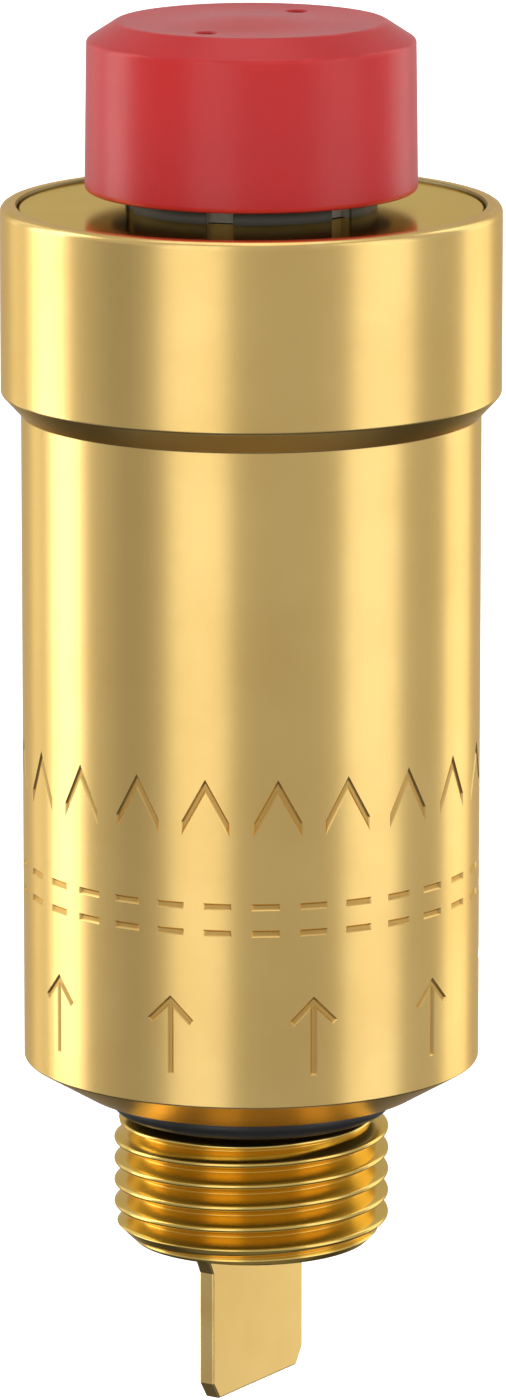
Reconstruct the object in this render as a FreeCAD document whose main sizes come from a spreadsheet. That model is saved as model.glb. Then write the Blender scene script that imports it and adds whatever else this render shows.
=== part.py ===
"""Automatic air vent with a G 3/8 male connection, in millimetres.

The origin is the centre of the flat sealing face that meets the fitting. +Z runs up the vent's axis
and +X runs along the width of the inlet strip. The rest pose is a dry vent: the float is down, the
valve is open and the cap is unscrewed a little, as it is in use.
"""
import FreeCAD, Part
import math
import os
import Sketcher

DOC = FreeCAD.newDocument("air_vent")
SHEET = DOC.addObject("Spreadsheet::Sheet", "sizes")
PARTS_FOLDER = "parts"

# Role names of the planes in a body's origin.
FLOOR_PLANE = "XY_Plane"
SIDE_PLANE = "XZ_Plane"
END_PLANE = "YZ_Plane"

# Axes, as directions.
ALONG_X = FreeCAD.Vector(1, 0, 0)
ALONG_Y = FreeCAD.Vector(0, 1, 0)
ALONG_Z = FreeCAD.Vector(0, 0, 1)


# ---------------------------------------------------------------- sizes


class Size:
    """A length or angle, known both as a number and as the sheet expression that gives it."""

    def __init__(self, number, text):
        self.number = number
        self.text = text

    def __add__(self, other):
        other = as_size(other)
        return Size(self.number + other.number, f"({self.text} + {other.text})")

    def __sub__(self, other):
        other = as_size(other)
        return Size(self.number - other.number, f"({self.text} - {other.text})")

    def __mul__(self, factor):
        factor = as_size(factor)
        return Size(self.number * factor.number, f"({self.text} * {factor.text})")

    def __truediv__(self, divisor):
        divisor = as_size(divisor)
        return Size(self.number / divisor.number, f"({self.text} / {divisor.text})")

    def __neg__(self):
        return Size(-self.number, f"(0 - {self.text})")


def as_size(value):
    """A plain number as a Size, and a Size as it is."""
    if isinstance(value, Size):
        return value
    return Size(float(value), f"{float(value):.9f}")


def sine(angle):
    return Size(math.sin(math.radians(angle.number)), f"sin({angle.text} * 1 deg)")


def cosine(angle):
    return Size(math.cos(math.radians(angle.number)), f"cos({angle.text} * 1 deg)")


def tangent(angle):
    return Size(math.tan(math.radians(angle.number)), f"tan({angle.text} * 1 deg)")


def driving(alias, value):
    """Put one driving dimension in the next cell of the sheet."""
    driving.row += 1
    cell = f"A{driving.row}"
    SHEET.set(cell, str(value))
    SHEET.setAlias(cell, alias)
    return Size(float(value), f"sizes.{alias}")


driving.row = 0

NOTHING = as_size(0)

# Housing. Heights are measured from the sealing face.
body_radius = driving("body_radius", 13.75)
collar_radius = driving("collar_radius", 14.95)
collar_bottom = driving("collar_bottom", 42.67)
collar_cone = driving("collar_cone", 1.29)
collar_top = driving("collar_top", 53.93)
collar_rounding = driving("collar_rounding", 0.45)
rim_radius = driving("rim_radius", 13.95)
face_radius = driving("face_radius", 10.4)
seal_seat_radius = driving("seal_seat_radius", 8.7)
seal_seat_depth = driving("seal_seat_depth", 0.12)
foot_height = driving("foot_height", 1.98)
chamber_radius = driving("chamber_radius", 12.6)
chamber_floor = driving("chamber_floor", 3.2)
chamber_chamfer = driving("chamber_chamfer", 1.0)
connection_bore = driving("connection_bore", 5.75)
bore_chamfer = driving("bore_chamfer", 0.3)

# G 3/8 thread of the connection, with the Whitworth form of 55 degrees.
spigot_length = driving("spigot_length", 9.47)
thread_radius = driving("thread_radius", 8.331)
thread_pitch = driving("thread_pitch", 1.337)
thread_depth = driving("thread_depth", 0.856)
thread_flank = driving("thread_flank", 27.5)
thread_crest_height = driving("thread_crest_height", 2.438)
spigot_chamfer = driving("spigot_chamfer", 1.15)
undercut_radius = driving("undercut_radius", 7.05)
undercut_height = driving("undercut_height", 1.65)

# Head plate and its seal.
plate_bottom = driving("plate_bottom", 51.35)
plate_thickness = driving("plate_thickness", 2.4)
plate_gap = driving("plate_gap", 0.02)
plate_chamfer = driving("plate_chamfer", 0.15)
plate_hole = driving("plate_hole", 5.56)
seal_groove_floor = driving("seal_groove_floor", 12.7)
seal_groove_bottom = driving("seal_groove_bottom", 0.45)
seal_groove_width = driving("seal_groove_width", 1.2)
seal_recess_radius = driving("seal_recess_radius", 7.0)
seal_recess_depth = driving("seal_recess_depth", 0.75)
head_seal_radius = driving("head_seal_radius", 13.31)
head_seal_wire = driving("head_seal_wire", 0.59)
insert_seal_radius = driving("insert_seal_radius", 6.29)
insert_seal_wire = driving("insert_seal_wire", 0.36)
connection_seal_radius = driving("connection_seal_radius", 7.84)
connection_seal_wire = driving("connection_seal_wire", 0.78)

# Valve insert: crown above the plate, shank through it, threaded neck for the cap.
crown_radius = driving("crown_radius", 7.5)
crown_height = driving("crown_height", 2.45)
crown_chamfer = driving("crown_chamfer", 0.3)
crown_phase = driving("crown_phase", 18.4)
notch_width = driving("notch_width", 1.66)
notch_depth = driving("notch_depth", 0.85)
notch_count = driving("notch_count", 6)
neck_radius = driving("neck_radius", 4.0)
neck_top = driving("neck_top", 61.35)
neck_chamfer = driving("neck_chamfer", 0.3)
neck_thread_pitch = driving("neck_thread_pitch", 1.25)
neck_thread_depth = driving("neck_thread_depth", 0.55)
neck_thread_flank = driving("neck_thread_flank", 30)
shank_radius = driving("shank_radius", 5.5)
shank_bottom = driving("shank_bottom", 47.6)
passage_radius = driving("passage_radius", 1.5)
socket_radius = driving("socket_radius", 2.52)
socket_top = driving("socket_top", 51.6)
nut_flats = driving("nut_flats", 14)
nut_thickness = driving("nut_thickness", 2.4)
nut_hole = driving("nut_hole", 5.52)

# Valve seat, screwed up into the insert through the bracket.
seat_shank_radius = driving("seat_shank_radius", 2.5)
seat_shank_top = driving("seat_shank_top", 51.4)
seat_hex_flats = driving("seat_hex_flats", 7)
seat_hex_thickness = driving("seat_hex_thickness", 1.8)
seat_tip_height = driving("seat_tip_height", 0.6)
seat_tip_radius = driving("seat_tip_radius", 1.0)
seat_cone_radius = driving("seat_cone_radius", 1.6)
orifice_radius = driving("orifice_radius", 0.4)
orifice_length = driving("orifice_length", 1.4)
seat_passage_radius = driving("seat_passage_radius", 1.1)

# Lever bracket, a frame of sheet round the stem, open along X.
sheet_thickness = driving("sheet_thickness", 0.6)
bracket_width = driving("bracket_width", 9.0)
bracket_length = driving("bracket_length", 7.6)
bracket_centre = driving("bracket_centre", -0.8)
bracket_bottom = driving("bracket_bottom", 35.0)
bracket_seat_hole = driving("bracket_seat_hole", 2.54)
bracket_guide_hole = driving("bracket_guide_hole", 0.88)
pivot_across = driving("pivot_across", -3.0)
pivot_height = driving("pivot_height", 41.0)
pivot_pin_radius = driving("pivot_pin_radius", 0.6)
pivot_pin_length = driving("pivot_pin_length", 10.6)
pivot_fit = driving("pivot_fit", 0.02)
clip_radius = driving("clip_radius", 1.3)
clip_thickness = driving("clip_thickness", 0.4)

# Lever, drawn level with its pivot at the origin and tilted by lever_tilt at rest.
lever_tilt = driving("lever_tilt", 10.39)
lever_width = driving("lever_width", 6.4)
lever_back = driving("lever_back", 1.4)
lever_front = driving("lever_front", 12.5)
lever_depth = driving("lever_depth", 2.4)
lever_corner = driving("lever_corner", 0.5)
lever_web_start = driving("lever_web_start", 6.2)
lever_pivot_hole = driving("lever_pivot_hole", 0.66)
stem_arm = driving("stem_arm", 3.0)
link_pin_radius = driving("link_pin_radius", 0.5)
link_pin_length = driving("link_pin_length", 6.9)
hook_reach = driving("hook_reach", 10.91)
hook_slot_radius = driving("hook_slot_radius", 0.7)
hook_slot_travel = driving("hook_slot_travel", 0.3)

# Valve stem, pad and spring, all on the axis.
guide_radius = driving("guide_radius", 0.8)
guide_bottom = driving("guide_bottom", 33.8)
spring_flange_radius = driving("spring_flange_radius", 2.4)
spring_flange_bottom = driving("spring_flange_bottom", 38.6)
spring_flange_thickness = driving("spring_flange_thickness", 0.6)
stem_radius = driving("stem_radius", 2.2)
stem_top = driving("stem_top", 43.2)
pad_radius = driving("pad_radius", 1.6)
pad_bottom = driving("pad_bottom", 42.2)
pad_thickness = driving("pad_thickness", 1.3)
link_slot_radius = driving("link_slot_radius", 0.6)
link_slot_travel = driving("link_slot_travel", 0.1)
spring_radius = driving("spring_radius", 1.7)
spring_wire = driving("spring_wire", 0.22)
spring_turns = driving("spring_turns", 4)
spring_end_gap = driving("spring_end_gap", 0.02)

# Float.
float_radius = driving("float_radius", 11.4)
float_wall = driving("float_wall", 0.8)
float_bottom = driving("float_bottom", 5.0)
float_top = driving("float_top", 30.5)
float_chamfer = driving("float_chamfer", 0.8)
float_lap_height = driving("float_lap_height", 1.4)
float_lap_wall = driving("float_lap_wall", 0.6)
float_lap_fit = driving("float_lap_fit", 0.02)
hook_aside = driving("hook_aside", 4.4)
hook_wire = driving("hook_wire", 0.5)
hook_bend = driving("hook_bend", 1.2)
hook_overhang = driving("hook_overhang", 3.9)
boss_radius = driving("boss_radius", 1.4)
boss_height = driving("boss_height", 1.5)
boss_hole_depth = driving("boss_hole_depth", 1.2)
boss_hole_fit = driving("boss_hole_fit", 0.01)

# Inlet strip, flat brass that breaks the water film so that bubbles can climb past it.
strip_thickness = driving("strip_thickness", 1.0)
strip_half_width = driving("strip_half_width", 5.0)
strip_bottom = driving("strip_bottom", 18.77)
strip_corner_across = driving("strip_corner_across", 0.7)
strip_corner_up = driving("strip_corner_up", 1.04)
strip_neck_bottom = driving("strip_neck_bottom", 10.81)
strip_neck_top = driving("strip_neck_top", 9.4)
strip_shank_half = driving("strip_shank_half", 5.7)
strip_head_half = driving("strip_head_half", 6.9)
strip_head_thickness = driving("strip_head_thickness", 1.1)

# Cap and its gasket.
cap_bottom = driving("cap_bottom", 54.78)
cap_skirt_radius = driving("cap_skirt_radius", 9.91)
cap_shoulder_radius = driving("cap_shoulder_radius", 9.78)
cap_shoulder_height = driving("cap_shoulder_height", 63.71)
cap_top_radius = driving("cap_top_radius", 8.0)
cap_top_height = driving("cap_top_height", 64.87)
cap_dish_radius = driving("cap_dish_radius", 5.4)
cap_dish_depth = driving("cap_dish_depth", 0.12)
cap_middle_rise = driving("cap_middle_rise", 0.22)
cap_inner_radius = driving("cap_inner_radius", 8.3)
cap_ceiling = driving("cap_ceiling", 63.3)
cap_boss_bottom = driving("cap_boss_bottom", 57.9)
cap_boss_radius = driving("cap_boss_radius", 4.85)
cap_bore = driving("cap_bore", 4.06)
cap_rounding = driving("cap_rounding", 0.3)
cap_hole_radius = driving("cap_hole_radius", 0.64)
cap_hole_circle = driving("cap_hole_circle", 5.55)
cap_hole_phase = driving("cap_hole_phase", 4.0)
gasket_radius = driving("gasket_radius", 3.95)
gasket_bottom = driving("gasket_bottom", 62.3)
gasket_thickness = driving("gasket_thickness", 0.98)

# Heights that several pieces share.
plate_top = plate_bottom + plate_thickness
crown_top = plate_top + crown_height
seat_hex_top = shank_bottom - sheet_thickness
seat_hex_bottom = seat_hex_top - seat_hex_thickness
seat_face = seat_hex_bottom - seat_tip_height
plate_radius = rim_radius - plate_gap
link_pin_height = pivot_height - stem_arm * sine(lever_tilt)
link_pin_across = pivot_across + stem_arm * cosine(lever_tilt)
hook_across = pivot_across + hook_reach
hook_height = pivot_height - hook_reach * tangent(lever_tilt)
boss_top = float_top + boss_height


# ---------------------------------------------------------------- building blocks


def new_body(label):
    body = DOC.addObject("PartDesign::Body", label)
    body.Label = label
    return body


def new_sketch(body, name, role):
    """An empty sketch on one of the body's own origin planes."""
    plane = next(feature for feature in body.Origin.OriginFeatures if feature.Role == role)
    sketch = body.newObject("Sketcher::SketchObject", name)
    sketch.AttachmentSupport = (plane, [""])
    sketch.MapMode = "FlatFace"
    return sketch


def raise_sketch(sketch, height):
    """Lift a sketch along its plane's normal."""
    sketch.AttachmentOffset = FreeCAD.Placement(ALONG_Z * height.number, FreeCAD.Rotation())
    sketch.setExpression("AttachmentOffset.Base.z", height.text)


def pin_point(sketch, edge, point, across, up):
    """Fix one point of a sketch by its two distances from the origin."""
    for kind, size in (("DistanceX", across), ("DistanceY", up)):
        index = sketch.addConstraint(Sketcher.Constraint(kind, -1, 1, edge, point, size.number))
        sketch.setExpression(f"Constraints[{index}]", size.text)


def draw_loop(sketch, corners):
    """A closed loop of straight edges through the corners, each an (across, up) pair."""
    first = sketch.GeometryCount
    for index, (across, up) in enumerate(corners):
        next_across, next_up = corners[(index + 1) % len(corners)]
        start = FreeCAD.Vector(across.number, up.number, 0)
        end = FreeCAD.Vector(next_across.number, next_up.number, 0)
        sketch.addGeometry(Part.LineSegment(start, end), False)
    for index, (across, up) in enumerate(corners):
        edge = first + index
        next_edge = first + (index + 1) % len(corners)
        sketch.addConstraint(Sketcher.Constraint("Coincident", edge, 2, next_edge, 1))
        pin_point(sketch, edge, 1, across, up)


def draw_circle(sketch, across, up, radius):
    centre = FreeCAD.Vector(across.number, up.number, 0)
    edge = sketch.addGeometry(Part.Circle(centre, ALONG_Z, radius.number), False)
    pin_point(sketch, edge, 3, across, up)
    index = sketch.addConstraint(Sketcher.Constraint("Radius", edge, radius.number))
    sketch.setExpression(f"Constraints[{index}]", radius.text)


def draw_slot(sketch, left, right, up, radius):
    """A slot with round ends, whose end centres are at left and right."""
    low = up.number - radius.number
    high = up.number + radius.number
    ends = []
    for across, turn in ((left, math.pi / 2), (right, -math.pi / 2)):
        centre = FreeCAD.Vector(across.number, up.number, 0)
        circle = Part.Circle(centre, ALONG_Z, radius.number)
        ends.append(sketch.addGeometry(Part.ArcOfCircle(circle, turn, turn + math.pi), False))
    sides = []
    for height, start, end in ((low, left, right), (high, right, left)):
        start_point = FreeCAD.Vector(start.number, height, 0)
        end_point = FreeCAD.Vector(end.number, height, 0)
        sides.append(sketch.addGeometry(Part.LineSegment(start_point, end_point), False))
    left_end, right_end = ends
    bottom, top = sides
    for edge, point, other, other_point in (
        (left_end, 2, bottom, 1),
        (bottom, 2, right_end, 1),
        (right_end, 2, top, 1),
        (top, 2, left_end, 1),
    ):
        sketch.addConstraint(Sketcher.Constraint("Tangent", edge, point, other, other_point))
    pin_point(sketch, left_end, 3, left, up)
    pin_point(sketch, right_end, 3, right, up)
    index = sketch.addConstraint(Sketcher.Constraint("Radius", left_end, radius.number))
    sketch.setExpression(f"Constraints[{index}]", radius.text)


def hexagon(flats):
    """Corners of a hexagon about the origin, with two corners on the first axis."""
    radius = flats / math.sqrt(3)
    return [
        (radius * math.cos(math.radians(60 * step)), radius * math.sin(math.radians(60 * step)))
        for step in range(6)
    ]


def revolve(body, outline):
    """Turn an outline of (radius, height) corners about the axis."""
    sketch = new_sketch(body, body.Name + "_outline", SIDE_PLANE)
    draw_loop(sketch, outline)
    turned = body.newObject("PartDesign::Revolution", body.Name + "_turned")
    turned.Profile = sketch
    turned.ReferenceAxis = (sketch, ["V_Axis"])
    turned.Angle = 360
    return turned


def pad(body, name, sketch, length, both_ways=False):
    made = body.newObject("PartDesign::Pad", name)
    made.Profile = sketch
    made.setExpression("Length", length.text)
    if both_ways:
        made.SideType = "Symmetric"
    return made


def cut_through(body, name, sketch, upward=False, both_ways=False):
    """Cut a sketch through everything, below its plane, above it or both ways."""
    made = body.newObject("PartDesign::Pocket", name)
    made.Profile = sketch
    made.Type = "ThroughAll"
    made.Reversed = upward
    if both_ways:
        made.SideType = "Symmetric"
    return made


def cut_depth(body, name, sketch, depth, both_ways=False):
    made = body.newObject("PartDesign::Pocket", name)
    made.Profile = sketch
    made.setExpression("Length", depth.text)
    if both_ways:
        made.SideType = "Symmetric"
    return made


def cut_thread(body, name, radius, depth, flank, pitch, groove_start, length):
    """Cut a right-hand thread. groove_start is the height of the groove's middle at its lower end."""
    flat = pitch / 12
    beyond = depth * 0.15
    floor = radius - depth
    mouth = radius + beyond
    mouth_half = flat + (depth + beyond) * tangent(flank)
    sketch = new_sketch(body, name + "_form", SIDE_PLANE)
    draw_loop(
        sketch,
        [
            (floor, groove_start - flat),
            (mouth, groove_start - mouth_half),
            (mouth, groove_start + mouth_half),
            (floor, groove_start + flat),
        ],
    )
    thread = body.newObject("PartDesign::SubtractiveHelix", name)
    thread.Profile = sketch
    thread.ReferenceAxis = (sketch, ["V_Axis"])
    thread.Mode = "pitch-height-angle"
    thread.setExpression("Pitch", pitch.text)
    thread.setExpression("Height", length.text)
    return thread


def round_rim(body, name, feature, rim_size, height, rounding):
    """Fillet the circular edge that has this radius at this height."""
    DOC.recompute()
    found = [
        f"Edge{index + 1}"
        for index, edge in enumerate(feature.Shape.Edges)
        if isinstance(edge.Curve, Part.Circle)
        and abs(edge.Curve.Radius - rim_size.number) < 0.01
        and abs(edge.Curve.Center.z - height.number) < 0.01
    ]
    fillet = body.newObject("PartDesign::Fillet", name)
    fillet.Base = (feature, found)
    fillet.setExpression("Radius", rounding.text)
    return fillet


def place(item, across=NOTHING, aside=NOTHING, up=NOTHING, axis=ALONG_Z, turn=NOTHING):
    """Put an object at a point given by the sheet, turned about an axis by a sheet angle."""
    spot = FreeCAD.Vector(across.number, aside.number, up.number)
    item.Placement = FreeCAD.Placement(spot, FreeCAD.Rotation(axis, turn.number))
    for name, size in (("x", across), ("y", aside), ("z", up)):
        item.setExpression(f"Placement.Base.{name}", size.text)
    if turn is not NOTHING:
        item.setExpression("Placement.Rotation.Angle", turn.text)


def seal_ring(label, ring_radius, wire_radius, height):
    """An O-ring about the axis."""
    ring = DOC.addObject("Part::Torus", label)
    ring.Label = label
    ring.setExpression("Radius1", ring_radius.text)
    ring.setExpression("Radius2", wire_radius.text)
    place(ring, up=height)
    return ring


def cylinder(name, radius, length):
    rod = DOC.addObject("Part::Cylinder", name)
    rod.setExpression("Radius", radius.text)
    rod.setExpression("Height", length.text)
    return rod


def upright(name, radius, length, bottom):
    rod = cylinder(name, radius, length)
    place(rod, up=bottom)
    return rod


def cut(label, whole, tool):
    made = DOC.addObject("Part::Cut", label)
    made.Label = label
    made.Base = whole
    made.Tool = tool
    return made


# ---------------------------------------------------------------- fixed pieces


def make_housing():
    """Body, collar, floor and threaded spigot, turned from one brass bar."""
    body = new_body("housing")
    thread_top = undercut_height + (thread_radius - undercut_radius) / 2
    turned = revolve(
        body,
        [
            (connection_bore, bore_chamfer - spigot_length),
            (connection_bore + bore_chamfer, -spigot_length),
            (thread_radius - spigot_chamfer, -spigot_length),
            (thread_radius, spigot_chamfer - spigot_length),
            (thread_radius, -thread_top),
            (undercut_radius, -undercut_height),
            (undercut_radius, seal_seat_depth),
            (seal_seat_radius, seal_seat_depth),
            (seal_seat_radius, NOTHING),
            (face_radius, NOTHING),
            (body_radius, foot_height),
            (body_radius, collar_bottom - collar_cone),
            (collar_radius, collar_bottom),
            (collar_radius, collar_top),
            (rim_radius, collar_top),
            (rim_radius, plate_bottom),
            (chamber_radius, plate_bottom),
            (chamber_radius, chamber_floor + chamber_chamfer),
            (chamber_radius - chamber_chamfer, chamber_floor),
            (connection_bore, chamber_floor),
        ],
    )
    body.Tip = round_rim(body, "collar_edge", turned, collar_radius, collar_top, collar_rounding)
    turns_below = 6.5
    groove_start = -thread_crest_height - thread_pitch * turns_below
    groove_length = thread_pitch * (turns_below + 1)
    cut_thread(
        body,
        "connection_thread",
        thread_radius,
        thread_depth,
        thread_flank,
        thread_pitch,
        groove_start,
        groove_length,
    )
    return body


def make_head_plate():
    """Disc that closes the chamber, with an O-ring groove in its rim and a recess for the insert's seal."""
    body = new_body("head_plate")
    groove_bottom = plate_bottom + seal_groove_bottom
    recess_floor = plate_top - seal_recess_depth
    revolve(
        body,
        [
            (plate_hole, plate_bottom),
            (plate_radius, plate_bottom),
            (plate_radius, groove_bottom),
            (seal_groove_floor, groove_bottom),
            (seal_groove_floor, groove_bottom + seal_groove_width),
            (plate_radius, groove_bottom + seal_groove_width),
            (plate_radius, plate_top - plate_chamfer),
            (plate_radius - plate_chamfer, plate_top),
            (seal_recess_radius, plate_top),
            (seal_recess_radius, recess_floor),
            (plate_hole, recess_floor),
        ],
    )
    return body


def make_seals():
    """O-rings of the plate, the insert and the connection."""
    groove_middle = plate_bottom + seal_groove_bottom + seal_groove_width / 2
    recess_floor = plate_top - seal_recess_depth
    lift = as_size(0.01)
    return [
        seal_ring("head_seal", head_seal_radius, head_seal_wire, groove_middle),
        seal_ring(
            "insert_seal", insert_seal_radius, insert_seal_wire, recess_floor + insert_seal_wire + lift
        ),
        seal_ring(
            "connection_seal",
            connection_seal_radius,
            connection_seal_wire,
            seal_seat_depth - connection_seal_wire - lift,
        ),
    ]


def make_valve_insert():
    """Plastic insert: shank, castellated crown and the neck that the cap screws on."""
    body = new_body("valve_insert")
    revolve(
        body,
        [
            (socket_radius, shank_bottom),
            (shank_radius, shank_bottom),
            (shank_radius, plate_top),
            (crown_radius, plate_top),
            (crown_radius, crown_top - crown_chamfer),
            (crown_radius - crown_chamfer, crown_top),
            (neck_radius, crown_top),
            (neck_radius, neck_top - neck_chamfer),
            (neck_radius - neck_chamfer, neck_top),
            (passage_radius, neck_top),
            (passage_radius, socket_top),
            (socket_radius, socket_top),
        ],
    )
    groove_start = crown_top + neck_thread_pitch
    groove_length = neck_top - groove_start + neck_thread_pitch
    cut_thread(
        body,
        "neck_thread",
        neck_radius,
        neck_thread_depth,
        neck_thread_flank,
        neck_thread_pitch,
        groove_start,
        groove_length,
    )
    notch_inner = crown_radius - notch_depth
    notch_outer = crown_radius + notch_depth
    notch_half = notch_width / 2
    sketch = new_sketch(body, "notch_form", FLOOR_PLANE)
    draw_loop(
        sketch,
        [
            (notch_inner, -notch_half),
            (notch_outer, -notch_half),
            (notch_outer, notch_half),
            (notch_inner, notch_half),
        ],
    )
    notch = cut_through(body, "notch", sketch, upward=True)
    DOC.recompute()
    ring_of_notches = body.newObject("PartDesign::PolarPattern", "notches")
    ring_of_notches.Originals = [notch]
    ring_of_notches.Axis = (sketch, ["N_Axis"])
    ring_of_notches.Angle = 360
    ring_of_notches.setExpression("Occurrences", notch_count.text)
    body.Tip = ring_of_notches
    place(body, turn=crown_phase)
    return body


def make_insert_nut():
    """Hexagon nut under the plate that holds the insert."""
    body = new_body("insert_nut")
    sketch = new_sketch(body, "nut_form", FLOOR_PLANE)
    draw_loop(sketch, hexagon(nut_flats))
    draw_circle(sketch, NOTHING, NOTHING, nut_hole)
    pad(body, "nut_blank", sketch, nut_thickness)
    place(body, up=plate_bottom - nut_thickness)
    return body


def make_valve_seat():
    """Brass nozzle with the vent orifice, a hexagon to drive it and a shank up into the insert."""
    body = new_body("valve_seat")
    revolve(
        body,
        [
            (orifice_radius, seat_face),
            (seat_tip_radius, seat_face),
            (seat_cone_radius, seat_hex_bottom),
            (seat_shank_radius, seat_hex_bottom),
            (seat_shank_radius, seat_shank_top),
            (seat_passage_radius, seat_shank_top),
            (seat_passage_radius, seat_face + orifice_length),
            (orifice_radius, seat_face + orifice_length),
        ],
    )
    sketch = new_sketch(body, "seat_hexagon_form", FLOOR_PLANE)
    raise_sketch(sketch, seat_hex_bottom)
    draw_loop(sketch, hexagon(seat_hex_flats))
    draw_circle(sketch, NOTHING, NOTHING, (seat_cone_radius + seat_shank_radius) / 2)
    pad(body, "seat_hexagon", sketch, seat_hex_thickness)
    return body


def make_lever_bracket():
    """Stainless frame round the stem: base under the insert, two ears, and a lower web that guides the stem."""
    body = new_body("lever_bracket")
    half = bracket_width / 2
    inner_half = half - sheet_thickness
    inner_bottom = bracket_bottom + sheet_thickness
    middle = (shank_bottom + bracket_bottom) / 2
    stem_across = -bracket_centre
    sketch = new_sketch(body, "bracket_form", END_PLANE)
    draw_loop(
        sketch,
        [(-half, bracket_bottom), (half, bracket_bottom), (half, shank_bottom), (-half, shank_bottom)],
    )
    draw_loop(
        sketch,
        [
            (-inner_half, inner_bottom),
            (inner_half, inner_bottom),
            (inner_half, seat_hex_top),
            (-inner_half, seat_hex_top),
        ],
    )
    pad(body, "bracket_frame", sketch, bracket_length, both_ways=True)
    for name, radius, upward in (
        ("seat_hole", bracket_seat_hole, True),
        ("guide_hole", bracket_guide_hole, False),
    ):
        hole = new_sketch(body, name + "_form", FLOOR_PLANE)
        raise_sketch(hole, middle)
        draw_circle(hole, stem_across, NOTHING, radius)
        cut_through(body, name, hole, upward=upward)
    hole = new_sketch(body, "pivot_hole_form", SIDE_PLANE)
    draw_circle(hole, pivot_across - bracket_centre, pivot_height, pivot_pin_radius + pivot_fit)
    cut_through(body, "pivot_hole", hole, both_ways=True)
    place(body, across=bracket_centre)
    return body


def cross_pin(label, radius, length, across, up):
    """A pin along Y, centred on the plane Y = 0."""
    pin = cylinder(label, radius, length)
    pin.Label = label
    spot = FreeCAD.Vector(across.number, length.number / 2, up.number)
    pin.Placement = FreeCAD.Placement(spot, FreeCAD.Rotation(ALONG_X, 90))
    for name, size in (("x", across), ("y", length / 2), ("z", up)):
        pin.setExpression(f"Placement.Base.{name}", size.text)
    return pin


def make_pivot_clips():
    """Two push-on rings that keep the pivot pin in the bracket."""
    ear_outside = bracket_width / 2
    clips = []
    for name, side_near in (("right", ear_outside), ("left", -(ear_outside + clip_thickness))):
        blanks = []
        for part, radius in (("disc", clip_radius), ("hole", pivot_pin_radius + pivot_fit / 2)):
            blank = cylinder(f"{name}_clip_{part}", radius, clip_thickness)
            far = side_near + clip_thickness
            spot = FreeCAD.Vector(pivot_across.number, far.number, pivot_height.number)
            blank.Placement = FreeCAD.Placement(spot, FreeCAD.Rotation(ALONG_X, 90))
            for direction, size in (("x", pivot_across), ("y", far), ("z", pivot_height)):
                blank.setExpression(f"Placement.Base.{direction}", size.text)
            blanks.append(blank)
        clips.append(cut(f"{name}_clip", blanks[0], blanks[1]))
    pair = DOC.addObject("Part::Compound", "pivot_clips")
    pair.Label = "pivot_clips"
    pair.Links = clips
    return pair


def make_inlet_strip():
    """Flat strip that hangs from the chamber's floor by its head and stands out below the thread."""
    body = new_body("inlet_strip")
    head_top = chamber_floor + strip_head_thickness
    right_side = [
        (strip_half_width - strip_corner_across, -strip_bottom),
        (strip_half_width, strip_corner_up - strip_bottom),
        (strip_half_width, -strip_neck_bottom),
        (strip_shank_half, -strip_neck_top),
        (strip_shank_half, chamber_floor),
        (strip_head_half, chamber_floor),
        (strip_head_half, head_top),
    ]
    left_side = [(-across, up) for across, up in reversed(right_side)]
    sketch = new_sketch(body, "strip_form", SIDE_PLANE)
    draw_loop(sketch, right_side + left_side)
    pad(body, "strip_blank", sketch, strip_thickness, both_ways=True)
    return body


# ---------------------------------------------------------------- float


def make_float_shell():
    """Hollow float, open below, with a boss on top for the hook."""
    body = new_body("float_shell")
    inner_radius = float_radius - float_wall
    shell_bottom = float_bottom + float_wall
    revolve(
        body,
        [
            (inner_radius, shell_bottom),
            (float_radius, shell_bottom),
            (float_radius, float_top - float_chamfer),
            (float_radius - float_chamfer, float_top),
            (NOTHING, float_top),
            (NOTHING, float_top - float_wall),
            (inner_radius - float_chamfer, float_top - float_wall),
            (inner_radius, float_top - float_wall - float_chamfer),
        ],
    )
    boss = new_sketch(body, "boss_form", FLOOR_PLANE)
    raise_sketch(boss, float_top - float_wall / 2)
    draw_circle(boss, hook_across, hook_aside, boss_radius)
    pad(body, "boss", boss, boss_height + float_wall / 2)
    hole = new_sketch(body, "boss_hole_form", FLOOR_PLANE)
    raise_sketch(hole, boss_top)
    draw_circle(hole, hook_across, hook_aside, hook_wire + boss_hole_fit)
    cut_depth(body, "boss_hole", hole, boss_hole_depth)
    return body


def make_float_base():
    """Disc that closes the float, with a lap inside the shell."""
    body = new_body("float_base")
    lap_radius = float_radius - float_wall - float_lap_fit
    base_top = float_bottom + float_wall
    revolve(
        body,
        [
            (NOTHING, float_bottom),
            (float_radius - float_wall / 2, float_bottom),
            (float_radius, float_bottom + float_wall / 2),
            (float_radius, base_top),
            (lap_radius, base_top),
            (lap_radius, base_top + float_lap_height),
            (lap_radius - float_lap_wall, base_top + float_lap_height),
            (lap_radius - float_lap_wall, base_top),
            (NOTHING, base_top),
        ],
    )
    return body


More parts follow.
